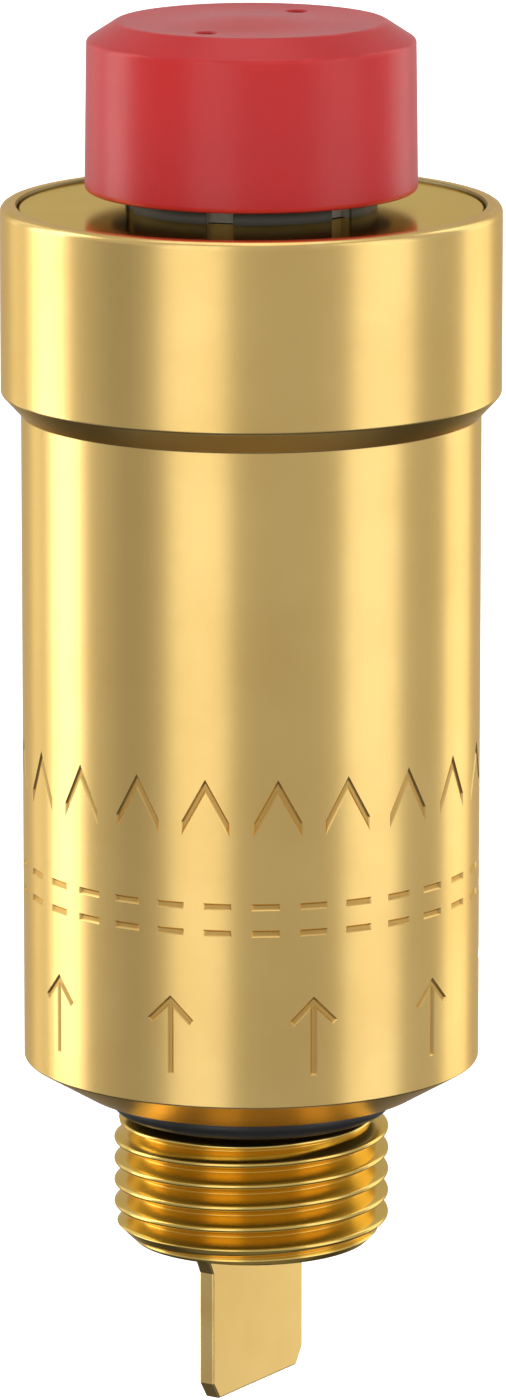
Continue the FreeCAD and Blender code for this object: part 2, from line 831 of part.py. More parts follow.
def make_float_hook():
    """Wire from the float's boss, bent over to pass through the lever's slots."""
    foot = boss_top - boss_hole_depth
    bend_height = hook_height - hook_bend
    bend_aside = hook_aside - hook_bend
    stalk = cylinder("hook_stalk", hook_wire, bend_height - foot)
    place(stalk, across=hook_across, aside=hook_aside, up=foot)
    bend = DOC.addObject("Part::Torus", "hook_bend")
    bend.setExpression("Radius1", hook_bend.text)
    bend.setExpression("Radius2", hook_wire.text)
    bend.Angle3 = 90
    bend_spot = FreeCAD.Vector(hook_across.number, bend_aside.number, bend_height.number)
    # Turned so that the quarter ring's own X is +Y here and its own Y is +Z.
    quarter = FreeCAD.Rotation(ALONG_Y, ALONG_Z, ALONG_X, "XYZ")
    bend.Placement = FreeCAD.Placement(bend_spot, quarter)
    for name, size in (("x", hook_across), ("y", bend_aside), ("z", bend_height)):
        bend.setExpression(f"Placement.Base.{name}", size.text)
    arm = cylinder("hook_arm", hook_wire, bend_aside + hook_overhang)
    arm_spot = FreeCAD.Vector(hook_across.number, bend_aside.number, hook_height.number)
    arm.Placement = FreeCAD.Placement(arm_spot, FreeCAD.Rotation(ALONG_X, 90))
    for name, size in (("x", hook_across), ("y", bend_aside), ("z", hook_height)):
        arm.setExpression(f"Placement.Base.{name}", size.text)
    hook = DOC.addObject("Part::MultiFuse", "float_hook")
    hook.Label = "float_hook"
    hook.Shapes = [stalk, bend, arm]
    return hook


# ---------------------------------------------------------------- lever, stem and spring


def make_float_lever():
    """Stamped channel: two arms, open round the stem, joined by a web under the hook's slots."""
    body = new_body("float_lever")
    half = lever_depth / 2
    back = -lever_back
    outline = new_sketch(body, "lever_form", SIDE_PLANE)
    draw_loop(
        outline,
        [
            (back + lever_corner, -half),
            (lever_front - lever_corner, -half),
            (lever_front, lever_corner - half),
            (lever_front, half - lever_corner),
            (lever_front - lever_corner, half),
            (back + lever_corner, half),
            (back, half - lever_corner),
            (back, lever_corner - half),
        ],
    )
    pad(body, "lever_blank", outline, lever_width, both_ways=True)
    beyond = as_size(1)
    web_top = sheet_thickness - half
    inside = new_sketch(body, "lever_inside_form", SIDE_PLANE)
    draw_loop(
        inside,
        [
            (back - beyond, -half - beyond),
            (lever_web_start, -half - beyond),
            (lever_web_start, web_top),
            (lever_front + beyond, web_top),
            (lever_front + beyond, half + beyond),
            (back - beyond, half + beyond),
        ],
    )
    cut_depth(body, "lever_inside", inside, lever_width - sheet_thickness * 2, both_ways=True)
    holes = new_sketch(body, "lever_holes_form", SIDE_PLANE)
    draw_circle(holes, NOTHING, NOTHING, lever_pivot_hole)
    draw_circle(holes, stem_arm, NOTHING, link_pin_radius)
    draw_slot(
        holes, hook_reach - hook_slot_travel / 2, hook_reach + hook_slot_travel, NOTHING, hook_slot_radius
    )
    cut_through(body, "lever_holes", holes, both_ways=True)
    place(body, across=pivot_across, up=pivot_height, axis=ALONG_Y, turn=lever_tilt)
    return body


def make_valve_stem():
    """Guide rod, spring flange and a block with the link slot and a cup for the pad."""
    body = new_body("valve_stem")
    flange_top = spring_flange_bottom + spring_flange_thickness
    revolve(
        body,
        [
            (NOTHING, guide_bottom),
            (guide_radius, guide_bottom),
            (guide_radius, spring_flange_bottom),
            (spring_flange_radius, spring_flange_bottom),
            (spring_flange_radius, flange_top),
            (stem_radius, flange_top),
            (stem_radius, stem_top),
            (pad_radius, stem_top),
            (pad_radius, pad_bottom),
            (NOTHING, pad_bottom),
        ],
    )
    slot = new_sketch(body, "link_slot_form", SIDE_PLANE)
    draw_slot(slot, link_pin_across - link_slot_travel, link_pin_across + link_slot_travel,
              link_pin_height, link_slot_radius)
    cut_through(body, "link_slot", slot, both_ways=True)
    return body


def make_valve_spring():
    """Compression spring from the bracket's web up to the stem's flange."""
    body = new_body("valve_spring")
    web_top = bracket_bottom + sheet_thickness
    inset = spring_wire + spring_end_gap
    start = web_top + inset
    length = spring_flange_bottom - inset - start
    section = new_sketch(body, "spring_section", SIDE_PLANE)
    draw_circle(section, spring_radius, start, spring_wire)
    coil = body.newObject("PartDesign::AdditiveHelix", "spring_coil")
    coil.Profile = section
    coil.ReferenceAxis = (section, ["V_Axis"])
    coil.Mode = "pitch-height-angle"
    coil.setExpression("Pitch", (length / spring_turns).text)
    coil.setExpression("Height", length.text)
    return body


# ---------------------------------------------------------------- cap


def make_vent_cap():
    """Screw cap: skirt, top with a low middle and two vent holes in the valley round it, and a boss."""
    body = new_body("vent_cap")
    turned = revolve(
        body,
        [
            (cap_inner_radius, cap_bottom),
            (cap_skirt_radius, cap_bottom),
            (cap_shoulder_radius, cap_shoulder_height),
            (cap_top_radius, cap_top_height),
            (cap_dish_radius, cap_top_height - cap_dish_depth),
            (NOTHING, cap_top_height + cap_middle_rise),
            (NOTHING, cap_ceiling),
            (cap_bore, cap_ceiling),
            (cap_bore, cap_boss_bottom),
            (cap_boss_radius, cap_boss_bottom),
            (cap_boss_radius, cap_ceiling),
            (cap_inner_radius, cap_ceiling),
        ],
    )
    body.Tip = round_rim(body, "skirt_edge", turned, cap_skirt_radius, cap_bottom, cap_rounding)
    holes = new_sketch(body, "vent_holes_form", FLOOR_PLANE)
    draw_circle(holes, cap_hole_circle, NOTHING, cap_hole_radius)
    draw_circle(holes, -cap_hole_circle, NOTHING, cap_hole_radius)
    cut_through(body, "vent_holes", holes, upward=True)
    place(body, turn=cap_hole_phase)
    return body


# ---------------------------------------------------------------- assembly


def check_document(nodes):
    """Stop if any feature failed, or if any sub-part is empty or not a valid solid."""
    for item in DOC.Objects:
        if "Invalid" in item.State or "Error" in item.State:
            raise RuntimeError(f"{item.Name} failed: {item.State}")
    for node in nodes:
        shape = node.Shape
        if shape.isNull() or not shape.isValid() or not shape.Solids:
            raise RuntimeError(f"{node.Label} has no valid solid")


def main():
    nodes = [
        make_housing(),
        make_head_plate(),
        *make_seals(),
        make_valve_insert(),
        make_insert_nut(),
        make_valve_seat(),
        make_lever_bracket(),
        cross_pin("pivot_pin", pivot_pin_radius, pivot_pin_length, pivot_across, pivot_height),
        make_pivot_clips(),
        make_inlet_strip(),
        make_float_shell(),
        make_float_base(),
        make_float_hook(),
        make_float_lever(),
        cross_pin("link_pin", link_pin_radius, link_pin_length, link_pin_across, link_pin_height),
        make_valve_stem(),
        upright("valve_pad", pad_radius, pad_thickness, pad_bottom),
        make_valve_spring(),
        upright("cap_gasket", gasket_radius, gasket_thickness, gasket_bottom),
        make_vent_cap(),
    ]
    DOC.recompute()
    check_document(nodes)
    os.makedirs(PARTS_FOLDER, exist_ok=True)
    for node in nodes:
        node.Shape.exportStep(os.path.join(PARTS_FOLDER, node.Label + ".step"))
        box = node.Shape.BoundBox
        print(f"{node.Label}: {len(node.Shape.Solids)} solid, {node.Shape.Volume:.1f} mm3,"
              f" x {box.XMin:.2f} {box.XMax:.2f}, y {box.YMin:.2f} {box.YMax:.2f},"
              f" z {box.ZMin:.2f} {box.ZMax:.2f}")


main()
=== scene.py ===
"""Automatic air vent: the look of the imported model, with its light, floor and camera.

Shapes are worked out in millimetres in the row frame and become metres when a mesh is made.
"""
import functools
import math

import bpy
import numpy as np
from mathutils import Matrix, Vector
from mathutils.geometry import delaunay_2d_cdt


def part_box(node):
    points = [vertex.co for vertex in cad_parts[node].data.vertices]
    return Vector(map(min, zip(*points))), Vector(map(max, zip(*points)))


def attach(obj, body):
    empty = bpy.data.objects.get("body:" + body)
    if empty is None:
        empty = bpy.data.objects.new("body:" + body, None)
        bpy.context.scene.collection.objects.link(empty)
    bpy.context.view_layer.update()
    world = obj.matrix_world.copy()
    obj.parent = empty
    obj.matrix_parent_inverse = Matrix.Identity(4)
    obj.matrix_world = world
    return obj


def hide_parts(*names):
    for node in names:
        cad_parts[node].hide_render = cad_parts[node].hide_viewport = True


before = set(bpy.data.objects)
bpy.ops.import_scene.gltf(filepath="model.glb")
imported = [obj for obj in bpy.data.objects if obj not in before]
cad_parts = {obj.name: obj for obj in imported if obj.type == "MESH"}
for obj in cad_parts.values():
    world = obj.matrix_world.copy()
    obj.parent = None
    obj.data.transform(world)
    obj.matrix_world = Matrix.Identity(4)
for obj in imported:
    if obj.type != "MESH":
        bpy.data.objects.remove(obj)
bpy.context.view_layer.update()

MM = 0.001


def node_box(node):
    """A CAD node's lowest and highest corners, in millimetres."""
    return [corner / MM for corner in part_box(node)]


# ---------------------------------------------------------------- sizes, in millimetres

COLUMNS = 320          # points round a turned surface
ROUND_STEPS = 4        # steps in the arc of a rounded corner
GUARD = 0.03           # from an arc to the row that keeps the shading next to it flat
SMALL_EDGE = 0.06      # rounding of an edge that is only broken
NORMAL_IS_AUTO = (0.0, 0.0, 0.0)
SAME_POINT = 4         # decimals to which two points agree that are made one
NEAR = 0.01            # from a wall to the end of the range in which its rows are marked

HOUSING_LOW, HOUSING_HIGH = node_box("housing")
PLATE_LOW, PLATE_HIGH = node_box("head_plate")
SEAL_LOW, SEAL_HIGH = node_box("connection_seal")
STRIP_LOW, STRIP_HIGH = node_box("inlet_strip")
CAP_LOW, CAP_HIGH = node_box("vent_cap")
INSERT_HIGH = node_box("valve_insert")[1]

BODY_RADIUS = 13.75
FACE_RADIUS = 10.4
FACE_ROUNDING = 0.1
FOOT_HEIGHT = 1.98
FOOT_ROUNDING = 0.12
COLLAR_RADIUS = HOUSING_HIGH.x
COLLAR_BOTTOM = 42.67
COLLAR_BOTTOM_ROUNDING = 0.3
COLLAR_CONE = 1.29        # height of the cone from the body out to the collar
COLLAR_CONE_ROUNDING = 0.15
COLLAR_ROUNDING = 0.45
RIM_RADIUS = 13.95
RIM_ROUNDING = 0.12
GRIME_REACH = 0.1         # how far the grime above the plate runs out over the rim's rounding
CHAMBER_RADIUS = 12.6
CHAMBER_FLOOR = 3.2
CHAMBER_CHAMFER = 1.0
BORE_RADIUS = 5.75
BORE_CHAMFER = 0.3
BORE_SEAM = CHAMBER_FLOOR - 1.0  # where the first and the last turned strips meet
SEAL_SEAT_RADIUS = 8.7
SEAL_SEAT_DEPTH = 0.12
SEAL_STEPS = 32           # points round the wire of the O-ring

THREAD_RADIUS = 8.331
THREAD_PITCH = 1.337
THREAD_ROUNDING = 0.1836
THREAD_ROOT = 0.03
THREAD_FLANK = math.radians(27.5)
THREAD_CREST = -2.438     # height of a crest on the +X side
THREAD_ARC_STEPS = 3      # steps in half the arc of a crest or a root
THREAD_FLANK_STEPS = 4
SPIGOT_CHAMFER = 1.15
UNDERCUT_RADIUS = 7.05
UNDERCUT_HEIGHT = 1.65
UNDERCUT_SLOPE = 2.0      # radius over height at its lower end

PLATE_HOLE = 5.56
PLATE_ROUNDING = 0.15
JOINT_LINE = 0.08                  # open width round the plate
PLATE_GROOVE = (12.7, 0.45, 1.65)  # floor radius, and the heights of its sides above the plate's foot
PLATE_RECESS = (7.0, 0.75)         # radius and depth of the recess round the hole

STRIP_TIP_HALF = 4.3               # half the width of the tip, between its two bevels
STRIP_TIP_BEVEL = 1.04             # height of the bevels
STRIP_NARROW_HALF = 5.0
STRIP_WIDE_HALF = 5.7
STRIP_WIDENING = (-10.81, -9.4)    # heights between which the strip grows wider
STRIP_EDGE = 0.09                  # how far its edges are broken
STRIP_EDGE_BEND = 0.3              # where a broken edge bends, as a share of that

CAP_FOOT_ROUNDING = 0.3
CAP_SHOULDER_RADIUS = 9.78
CAP_SHOULDER = 63.71
CAP_SHOULDER_ROUNDING = 0.28
CAP_TOP_RADIUS = 8.0
CAP_TOP = 64.87
CAP_TOP_ROUNDING = 0.5
CAP_VALLEY_RADIUS = 5.4
CAP_VALLEY_DEPTH = 0.12
CAP_INNER_RADIUS = 8.3
CAP_INNER_ROUNDING = 0.15
CAP_CEILING = 63.3
CAP_BOSS_RADIUS = 4.85
CAP_BOSS_BOTTOM = 57.9
CAP_BOSS_ROUNDING = 0.1
CAP_BORE = 4.06
CAP_BORE_ROUNDING = 0.2
CAP_TOP_PATCH = CAP_TOP_RADIUS - 0.7  # outer radius of the pierced top, where the turned rows end
CAP_CEILING_PATCH = (CAP_BOSS_RADIUS + 0.03, CAP_INNER_RADIUS - 0.3)  # both radii of the ceiling's
CAP_HOLE_RADIUS = 0.64
CAP_HOLE_EDGE = 0.12
CAP_HOLE_STEPS = 4                    # steps in the arc of a vent hole's edge
CAP_HOLE_CIRCLE = 5.55
CAP_HOLE_PHASE = math.radians(4.0)
HOLE_COLUMNS = 48                     # points round a vent hole
CAP_HOLE_NARROWING = 0.001            # of a vent hole's radius, at its lower end

PATCH_STEPS = 10                      # steps from a pierced disc's inner radius to its outer one
PATCH_COLUMNS = 12                    # fewest points in a ring, and points for each mm of its radius
PATCH_MARGIN = 0.15                   # from a hole to the nearest point of a ring
SLOPE_STEP = 0.01                     # step in radius over which a slope is taken

# Engraving, all of it plain shapes: a row of chevrons, two rows of dashes and ten upright arrows.
BAND_LOW = 3.0
BAND_HIGH = 24.0
BAND_ROWS = 21
SECTORS = 10
MARK_PHASE = math.radians(-167.5)  # bearing of the first arrow
STROKE = 0.42
ENGRAVED_DEPTH = 0.12
ENGRAVED_SLOPE = 0.12
ENGRAVED = -1.0           # wear of an engraved floor
# The cap's inside is painted darker, as shade.
PAINTED_SHADE = -1.0          # wear of the inside of the cap
GRIMED = -2.0             # wear of the wall above the head plate
WORN = 1.0                # wear of an edge
ARROW_FOOT = 3.9
ARROW_HEIGHT = 4.8
ARROW_ARM = 2.1
CHEVRON_PLACES = (-0.25, 0.25)       # places across a sector, as shares of its width
CHEVRON_FOOT = 18.4
CHEVRON_HEIGHT = 2.6
CHEVRON_HALF = 1.45
DASH_PLACES = (-1 / 3, 0, 1 / 3)
DASH_HEIGHTS = (12.6, 14.2)
DASH_HALF = 0.85


# ---------------------------------------------------------------- surfaces


class Surface:
    """Points, faces and shading of one piece, gathered in millimetres.

    A point's wear is 1 on a worn edge, -1 on an engraved floor and on the cap's inside, which is painted
    darker as shade, and -2 in grime.
    """

    def __init__(self):
        self.points = []
        self.wear = []
        self.faces = []
        self.normals = []

    def point(self, place, wear=0.0):
        self.points.append(tuple(place))
        self.wear.append(wear)
        return len(self.points) - 1

    def face(self, corners, normals=None):
        """A face that is shaded smoothly, or with the normals given for its corners."""
        self.faces.append(tuple(corners))
        self.normals.append(normals or [NORMAL_IS_AUTO] * len(corners))

    def flat_face(self, corners):
        a, b, c = (Vector(self.points[corner]) for corner in corners[:3])
        normal = tuple((b - a).cross(c - a).normalized())
        self.face(corners, [normal] * len(corners))

    def ring(self, places, wear=0.0):
        return [self.point(place, wear) for place in places]

    def join_rings(self, low, high, flat=False):
        """Quads between two rings of as many points, facing out where high is above low."""
        for index in range(len(low)):
            after = (index + 1) % len(low)
            corners = (low[index], low[after], high[after], high[index])
            if flat:
                self.flat_face(corners)
            else:
                self.face(corners)

    def turn(self, rows, columns=COLUMNS):
        """A strip of rows (radius, height, wear) turned about the axis."""
        previous = None
        for radius, height, wear in rows:
            places = []
            for column in range(columns):
                angle = row_angle(column, columns)
                places.append((radius * math.cos(angle), radius * math.sin(angle), height))
            current = self.ring(places, wear)
            if previous:
                self.join_rings(previous, current)
            previous = current

    def mesh(self, name):
        """The finished object, with points that lie together made one."""
        points = np.array(self.points)
        _, first, where = np.unique(
            np.round(points, SAME_POINT), axis=0, return_index=True, return_inverse=True
        )
        where = where.ravel()
        faces, normals = [], []
        for corners, shading in zip(self.faces, self.normals):
            merged, kept = [], []
            for corner, normal in zip(corners, shading):
                index = int(where[corner])
                if index not in merged:
                    merged.append(index)
                    kept.append(normal)
            if len(merged) > 2:
                faces.append(merged)
                normals.extend(kept)
        data = bpy.data.meshes.new(name)
        data.from_pydata((points[first] * MM).tolist(), [], faces)
        data.shade_smooth()
        wear = data.attributes.new("wear", "FLOAT", "POINT")
        wear.data.foreach_set("value", np.array(self.wear, float)[first])
        data.normals_split_custom_set(normals)
        piece = bpy.data.objects.new(name, data)
        bpy.context.collection.objects.link(piece)
        return piece


def rounded(corners, closed=False):
    """Rows (radius, height, wear) of an outline of (radius, height, rounding) corners.

    The outline runs with the material on its left. An outward edge is worn, an inward one is not.
    """
    rows = []
    for index, (radius, height, rounding) in enumerate(corners):
        inside = closed or 0 < index < len(corners) - 1
        if not rounding or not inside:
            rows.append((radius, height, 0.0))
            continue
        here = Vector((radius, height))
        before = (Vector(corners[index - 1][:2]) - here).normalized()
        after = (Vector(corners[(index + 1) % len(corners)][:2]) - here).normalized()
        half = before.angle(after) / 2
        reach = rounding / math.tan(half)
        centre = here + (before + after).normalized() * rounding / math.sin(half)
        first_arm = here + before * reach - centre
        last_arm = here + after * reach - centre
        sweep = first_arm.angle(last_arm)
        wear = WORN if before.x * after.y - before.y * after.x < 0 else 0.0
        rows.append((*(here + before * (reach + GUARD)), 0.0))
        for step in range(ROUND_STEPS + 1):
            share = step / ROUND_STEPS
            arm = first_arm * math.sin((1 - share) * sweep) + last_arm * math.sin(share * sweep)
            rows.append((*(centre + arm / math.sin(sweep)), wear))
        rows.append((*(here + after * (reach + GUARD)), 0.0))
    return rows


def marked(rows, wear, radius_range, height_range):
    """The rows, with the wear given for those that lie in both ranges."""
    (near, far), (low, high) = radius_range, height_range
    return [
        (radius, height, wear if near < radius < far and low < height < high else old)
        for radius, height, old in rows
    ]


def row_angle(column, columns=COLUMNS):
    """Bearing of a column of a turned row. The first lies where two engraved sectors meet."""
    return MARK_PHASE + math.tau * (column - columns / SECTORS / 2) / columns


def closed_rows(corners):
    """Rows of a closed outline, the first one again at the end."""
    rows = rounded(corners, closed=True)
    return rows + rows[:1]


def circle(radius, count, centre=(0.0, 0.0)):
    x, y = centre
    angles = [math.tau * step / count for step in range(count)]
    return [(x + radius * math.cos(angle), y + radius * math.sin(angle)) for angle in angles]


def inset(outline, distance):
    """A closed outline moved in by a distance. It runs anticlockwise."""
    moved = []
    for index, here in enumerate(outline):
        before = Vector(here) - Vector(outline[index - 1])
        after = Vector(outline[(index + 1) % len(outline)]) - Vector(here)
        left_before = Vector((-before.y, before.x)).normalized()
        left_after = Vector((-after.y, after.x)).normalized()
        way = (left_before + left_after).normalized()
        moved.append(tuple(Vector(here) + way * distance / way.dot(left_before)))
    return moved


def encloses(outline, places):
    """Which of the places lie inside an outline."""
    inside = np.zeros(len(places), bool)
    for index in range(len(outline)):
        (ax, ay), (bx, by) = outline[index - 1], outline[index]
        crosses = (ay > places[:, 1]) != (by > places[:, 1])
        if ay != by:
            at = ax + (places[:, 1] - ay) * (bx - ax) / (by - ay)
            inside ^= crosses & (places[:, 0] < at)
    return inside


def triangulated(places, loops):
    """Triangles over flat places, with the loops of place indices kept as edges."""
    edges = [(loop[i - 1], loop[i]) for loop in loops for i in range(len(loop))]
    merge_within = 1e-7
    made = delaunay_2d_cdt([Vector(place) for place in places], edges, [], 0, merge_within)
    _, _, triangles, origins, *_ = made
    return [tuple(origins[corner][0] for corner in corners) for corners in triangles]


# ---------------------------------------------------------------- housing


def thread_profile():
    """Rows (distance along the axis from a crest, radius) of one turn of the connection thread.

    The crests are rounded, the flanks straight and the roots nearly sharp.
    """
    crest_arc = THREAD_ROUNDING * math.cos(THREAD_FLANK)
    root_arc = THREAD_ROOT * math.cos(THREAD_FLANK)
    turn = math.pi / 2 - THREAD_FLANK
    start = THREAD_RADIUS - THREAD_ROUNDING * (1 - math.sin(THREAD_FLANK))
    end = start - (THREAD_PITCH / 2 - root_arc - crest_arc) / math.tan(THREAD_FLANK)
    half = []
    for step in range(THREAD_ARC_STEPS + 1):
        lean = turn * step / THREAD_ARC_STEPS
        fall = THREAD_ROUNDING * (1 - math.cos(lean))
        half.append((THREAD_ROUNDING * math.sin(lean), THREAD_RADIUS - fall))
    for step in range(1, THREAD_FLANK_STEPS):
        share = step / THREAD_FLANK_STEPS
        away = crest_arc + (THREAD_PITCH / 2 - root_arc - crest_arc) * share
        half.append((away, start + (end - start) * share))
    for step in range(THREAD_ARC_STEPS, -1, -1):
        lean = turn * step / THREAD_ARC_STEPS
        rise = THREAD_ROOT * (math.sin(THREAD_FLANK) - math.cos(lean))
        half.append((THREAD_PITCH / 2 - THREAD_ROOT * math.sin(lean), end + rise))
    return [(-away, radius) for away, radius in half[:0:-1]] + half[:-1]


def spigot_reach(height):
    """Radius of the blank that the thread is cut in, with its end chamfer and its undercut."""
    tip = HOUSING_LOW.z
    chamfer = THREAD_RADIUS - SPIGOT_CHAMFER + (height - tip)
    undercut = UNDERCUT_RADIUS + UNDERCUT_SLOPE * (-UNDERCUT_HEIGHT - height)
    return min(THREAD_RADIUS, chamfer, undercut)


def make_thread(surface):
    """The thread as rows that climb with its helix, held between the spigot's two ends."""
    tip, top = HOUSING_LOW.z, -UNDERCUT_HEIGHT
    angles = [row_angle(column) for column in range(COLUMNS + 1)]
    first_turn = math.floor((tip - THREAD_CREST) / THREAD_PITCH - angles[-1] / math.tau) - 1
    last_turn = math.ceil((top - THREAD_CREST) / THREAD_PITCH - angles[0] / math.tau) + 1
    previous = None
    for turn in range(first_turn, last_turn + 1):
        for along, radius in thread_profile():
            places = []
            for angle in angles:
                height = THREAD_CREST + THREAD_PITCH * (turn + angle / math.tau) + along
                height = min(max(height, tip), top)
                reach = min(radius, spigot_reach(height))
                places.append((reach * math.cos(angle), reach * math.sin(angle), height))
            current = surface.ring(places)
            if previous:
                for low, low_next, high_next, high in zip(previous, previous[1:], current[1:], current):
                    surface.face((low, low_next, high_next, high))
            previous = current


def chevron(across):
    """A chevron that points up, at an arc length from the middle of its sector."""
    rise = Vector((CHEVRON_HALF, CHEVRON_HEIGHT)).normalized()
    thick = STROKE / rise.x
    low, high, half = CHEVRON_FOOT, CHEVRON_FOOT + CHEVRON_HEIGHT, CHEVRON_HALF
    under = [(across - half, low), (across, high), (across + half, low)]
    return under + [(x, z + thick) for x, z in reversed(under)]


def dash(across, middle):
    """A level dash, at an arc length from the middle of its sector and a height."""
    low, high = middle - STROKE / 2, middle + STROKE / 2
    left, right = across - DASH_HALF, across + DASH_HALF
    return [(left, low), (right, low), (right, high), (left, high)]


def arrow():
    """An upright arrow: a shaft and two arms at 45 degrees."""
    tip = ARROW_FOOT + ARROW_HEIGHT
    half = STROKE / 2
    reach = ARROW_ARM / math.sqrt(2)
    step = STROKE / math.sqrt(2)
    right = [
        (half, ARROW_FOOT),
        (half, tip - half - 2 * step),
        (reach - step, tip - reach - step),
        (reach, tip - reach),
    ]
    return right + [(0.0, tip)] + [(-x, z) for x, z in reversed(right)]


def engraved_sector():
    """One sector laid flat: its places (arc length, height), their depths and its triangles."""
    columns = COLUMNS // SECTORS
    width = math.tau * BODY_RADIUS / SECTORS
    spacing = width / columns
    figures = [arrow()]
    figures += [chevron(width * share) for share in CHEVRON_PLACES]
    figures += [dash(width * share, middle) for share in DASH_PLACES for middle in DASH_HEIGHTS]
    grid = [
        (spacing * column - width / 2, BAND_LOW + (BAND_HIGH - BAND_LOW) * row / BAND_ROWS)
        for row in range(BAND_ROWS + 1)
        for column in range(columns + 1)
    ]
    margin = STROKE / 3
    clear = np.ones(len(grid), bool)
    for figure in figures:
        clear &= ~encloses(inset(figure, -margin), np.array(grid))
    places = [place for place, free in zip(grid, clear) if free]
    depths = [0.0] * len(places)
    loops = []
    for figure in figures:
        for distance, depth in ((0.0, 0.0), (ENGRAVED_SLOPE, ENGRAVED_DEPTH)):
            loops.append(list(range(len(places), len(places) + len(figure))))
            places += inset(figure, distance)
            depths += [depth] * len(figure)
    triangles = triangulated(places, loops)
    return places, depths, triangles


def engrave(surface):
    """The engraved band of the body, as ten equal sectors."""
    places, depths, triangles = engraved_sector()
    for sector in range(SECTORS):
        first = len(surface.points)
        phase = MARK_PHASE + math.tau * sector / SECTORS
        outward = []
        for (across, height), depth in zip(places, depths):
            angle = phase + across / BODY_RADIUS
            way = (math.cos(angle), math.sin(angle), 0.0)
            reach = BODY_RADIUS - depth
            surface.point((reach * way[0], reach * way[1], height), ENGRAVED if depth else 0.0)
            outward.append(way)
        for corners in triangles:
            shifted = [first + corner for corner in corners]
            deep = {depths[corner] for corner in corners}
            if len(deep) > 1:
                surface.flat_face(shifted)
            else:
                surface.face(shifted, [outward[corner] for corner in corners])


def make_housing():
    surface = Surface()
    tip, top = HOUSING_LOW.z, HOUSING_HIGH.z
    plate_bottom = PLATE_LOW.z
    spigot = rounded([
        (BORE_RADIUS, BORE_SEAM, 0),
        (BORE_RADIUS, tip + BORE_CHAMFER, SMALL_EDGE),
        (BORE_RADIUS + BORE_CHAMFER, tip, SMALL_EDGE),
        (THREAD_RADIUS - SPIGOT_CHAMFER, tip, 0),
    ])
    neck = rounded([
        (UNDERCUT_RADIUS, -UNDERCUT_HEIGHT, 0),
        (UNDERCUT_RADIUS, SEAL_SEAT_DEPTH, SMALL_EDGE / 2),
        (SEAL_SEAT_RADIUS, SEAL_SEAT_DEPTH, SMALL_EDGE / 2),
        (SEAL_SEAT_RADIUS, 0, SMALL_EDGE / 2),
        (FACE_RADIUS, 0, FACE_ROUNDING),
        (BODY_RADIUS, FOOT_HEIGHT, FOOT_ROUNDING),
        (BODY_RADIUS, BAND_LOW, 0),
    ])
    surface.turn(spigot)
    make_thread(surface)
    surface.turn(neck)
    engrave(surface)
    shell = rounded([
        (BODY_RADIUS, BAND_HIGH, 0),
        (BODY_RADIUS, COLLAR_BOTTOM - COLLAR_CONE, COLLAR_CONE_ROUNDING),
        (COLLAR_RADIUS, COLLAR_BOTTOM, COLLAR_BOTTOM_ROUNDING),
        (COLLAR_RADIUS, top, COLLAR_ROUNDING),
        (RIM_RADIUS, top, RIM_ROUNDING),
        (RIM_RADIUS, plate_bottom, SMALL_EDGE),
        (CHAMBER_RADIUS, plate_bottom, SMALL_EDGE),
        (CHAMBER_RADIUS, CHAMBER_FLOOR + CHAMBER_CHAMFER, SMALL_EDGE),
        (CHAMBER_RADIUS - CHAMBER_CHAMFER, CHAMBER_FLOOR, SMALL_EDGE),
        (BORE_RADIUS, CHAMBER_FLOOR, SMALL_EDGE),
        (BORE_RADIUS, BORE_SEAM, 0),
    ])
    rim_wall = (RIM_RADIUS - NEAR, RIM_RADIUS + GRIME_REACH), (plate_bottom, top)
    surface.turn(marked(shell, GRIMED, *rim_wall))
    return surface.mesh("housing_turned")


def make_head_plate():
    surface = Surface()
    bottom, top, radius = PLATE_LOW.z, PLATE_HIGH.z, PLATE_HIGH.x - JOINT_LINE
    groove_floor, groove_low, groove_high = PLATE_GROOVE
    recess_radius, recess_depth = PLATE_RECESS
    surface.turn(closed_rows([
        (PLATE_HOLE, bottom, SMALL_EDGE),
        (radius, bottom, SMALL_EDGE),
        (radius, bottom + groove_low, SMALL_EDGE),
        (groove_floor, bottom + groove_low, SMALL_EDGE),
        (groove_floor, bottom + groove_high, SMALL_EDGE),
        (radius, bottom + groove_high, SMALL_EDGE),
        (radius, top, PLATE_ROUNDING),
        (recess_radius, top, SMALL_EDGE),
        (recess_radius, top - recess_depth, SMALL_EDGE),
        (PLATE_HOLE, top - recess_depth, SMALL_EDGE),
    ]))
    return surface.mesh("head_plate_turned")


def make_connection_seal():
    wire = (SEAL_HIGH.z - SEAL_LOW.z) / 2
    ring = SEAL_HIGH.x - wire
    middle = (SEAL_HIGH.z + SEAL_LOW.z) / 2
    outline = circle(wire, SEAL_STEPS, (ring, middle))
    surface = Surface()
    surface.turn([(radius, height, 0.0) for radius, height in outline + outline[:1]])
    return surface.mesh("connection_o_ring")


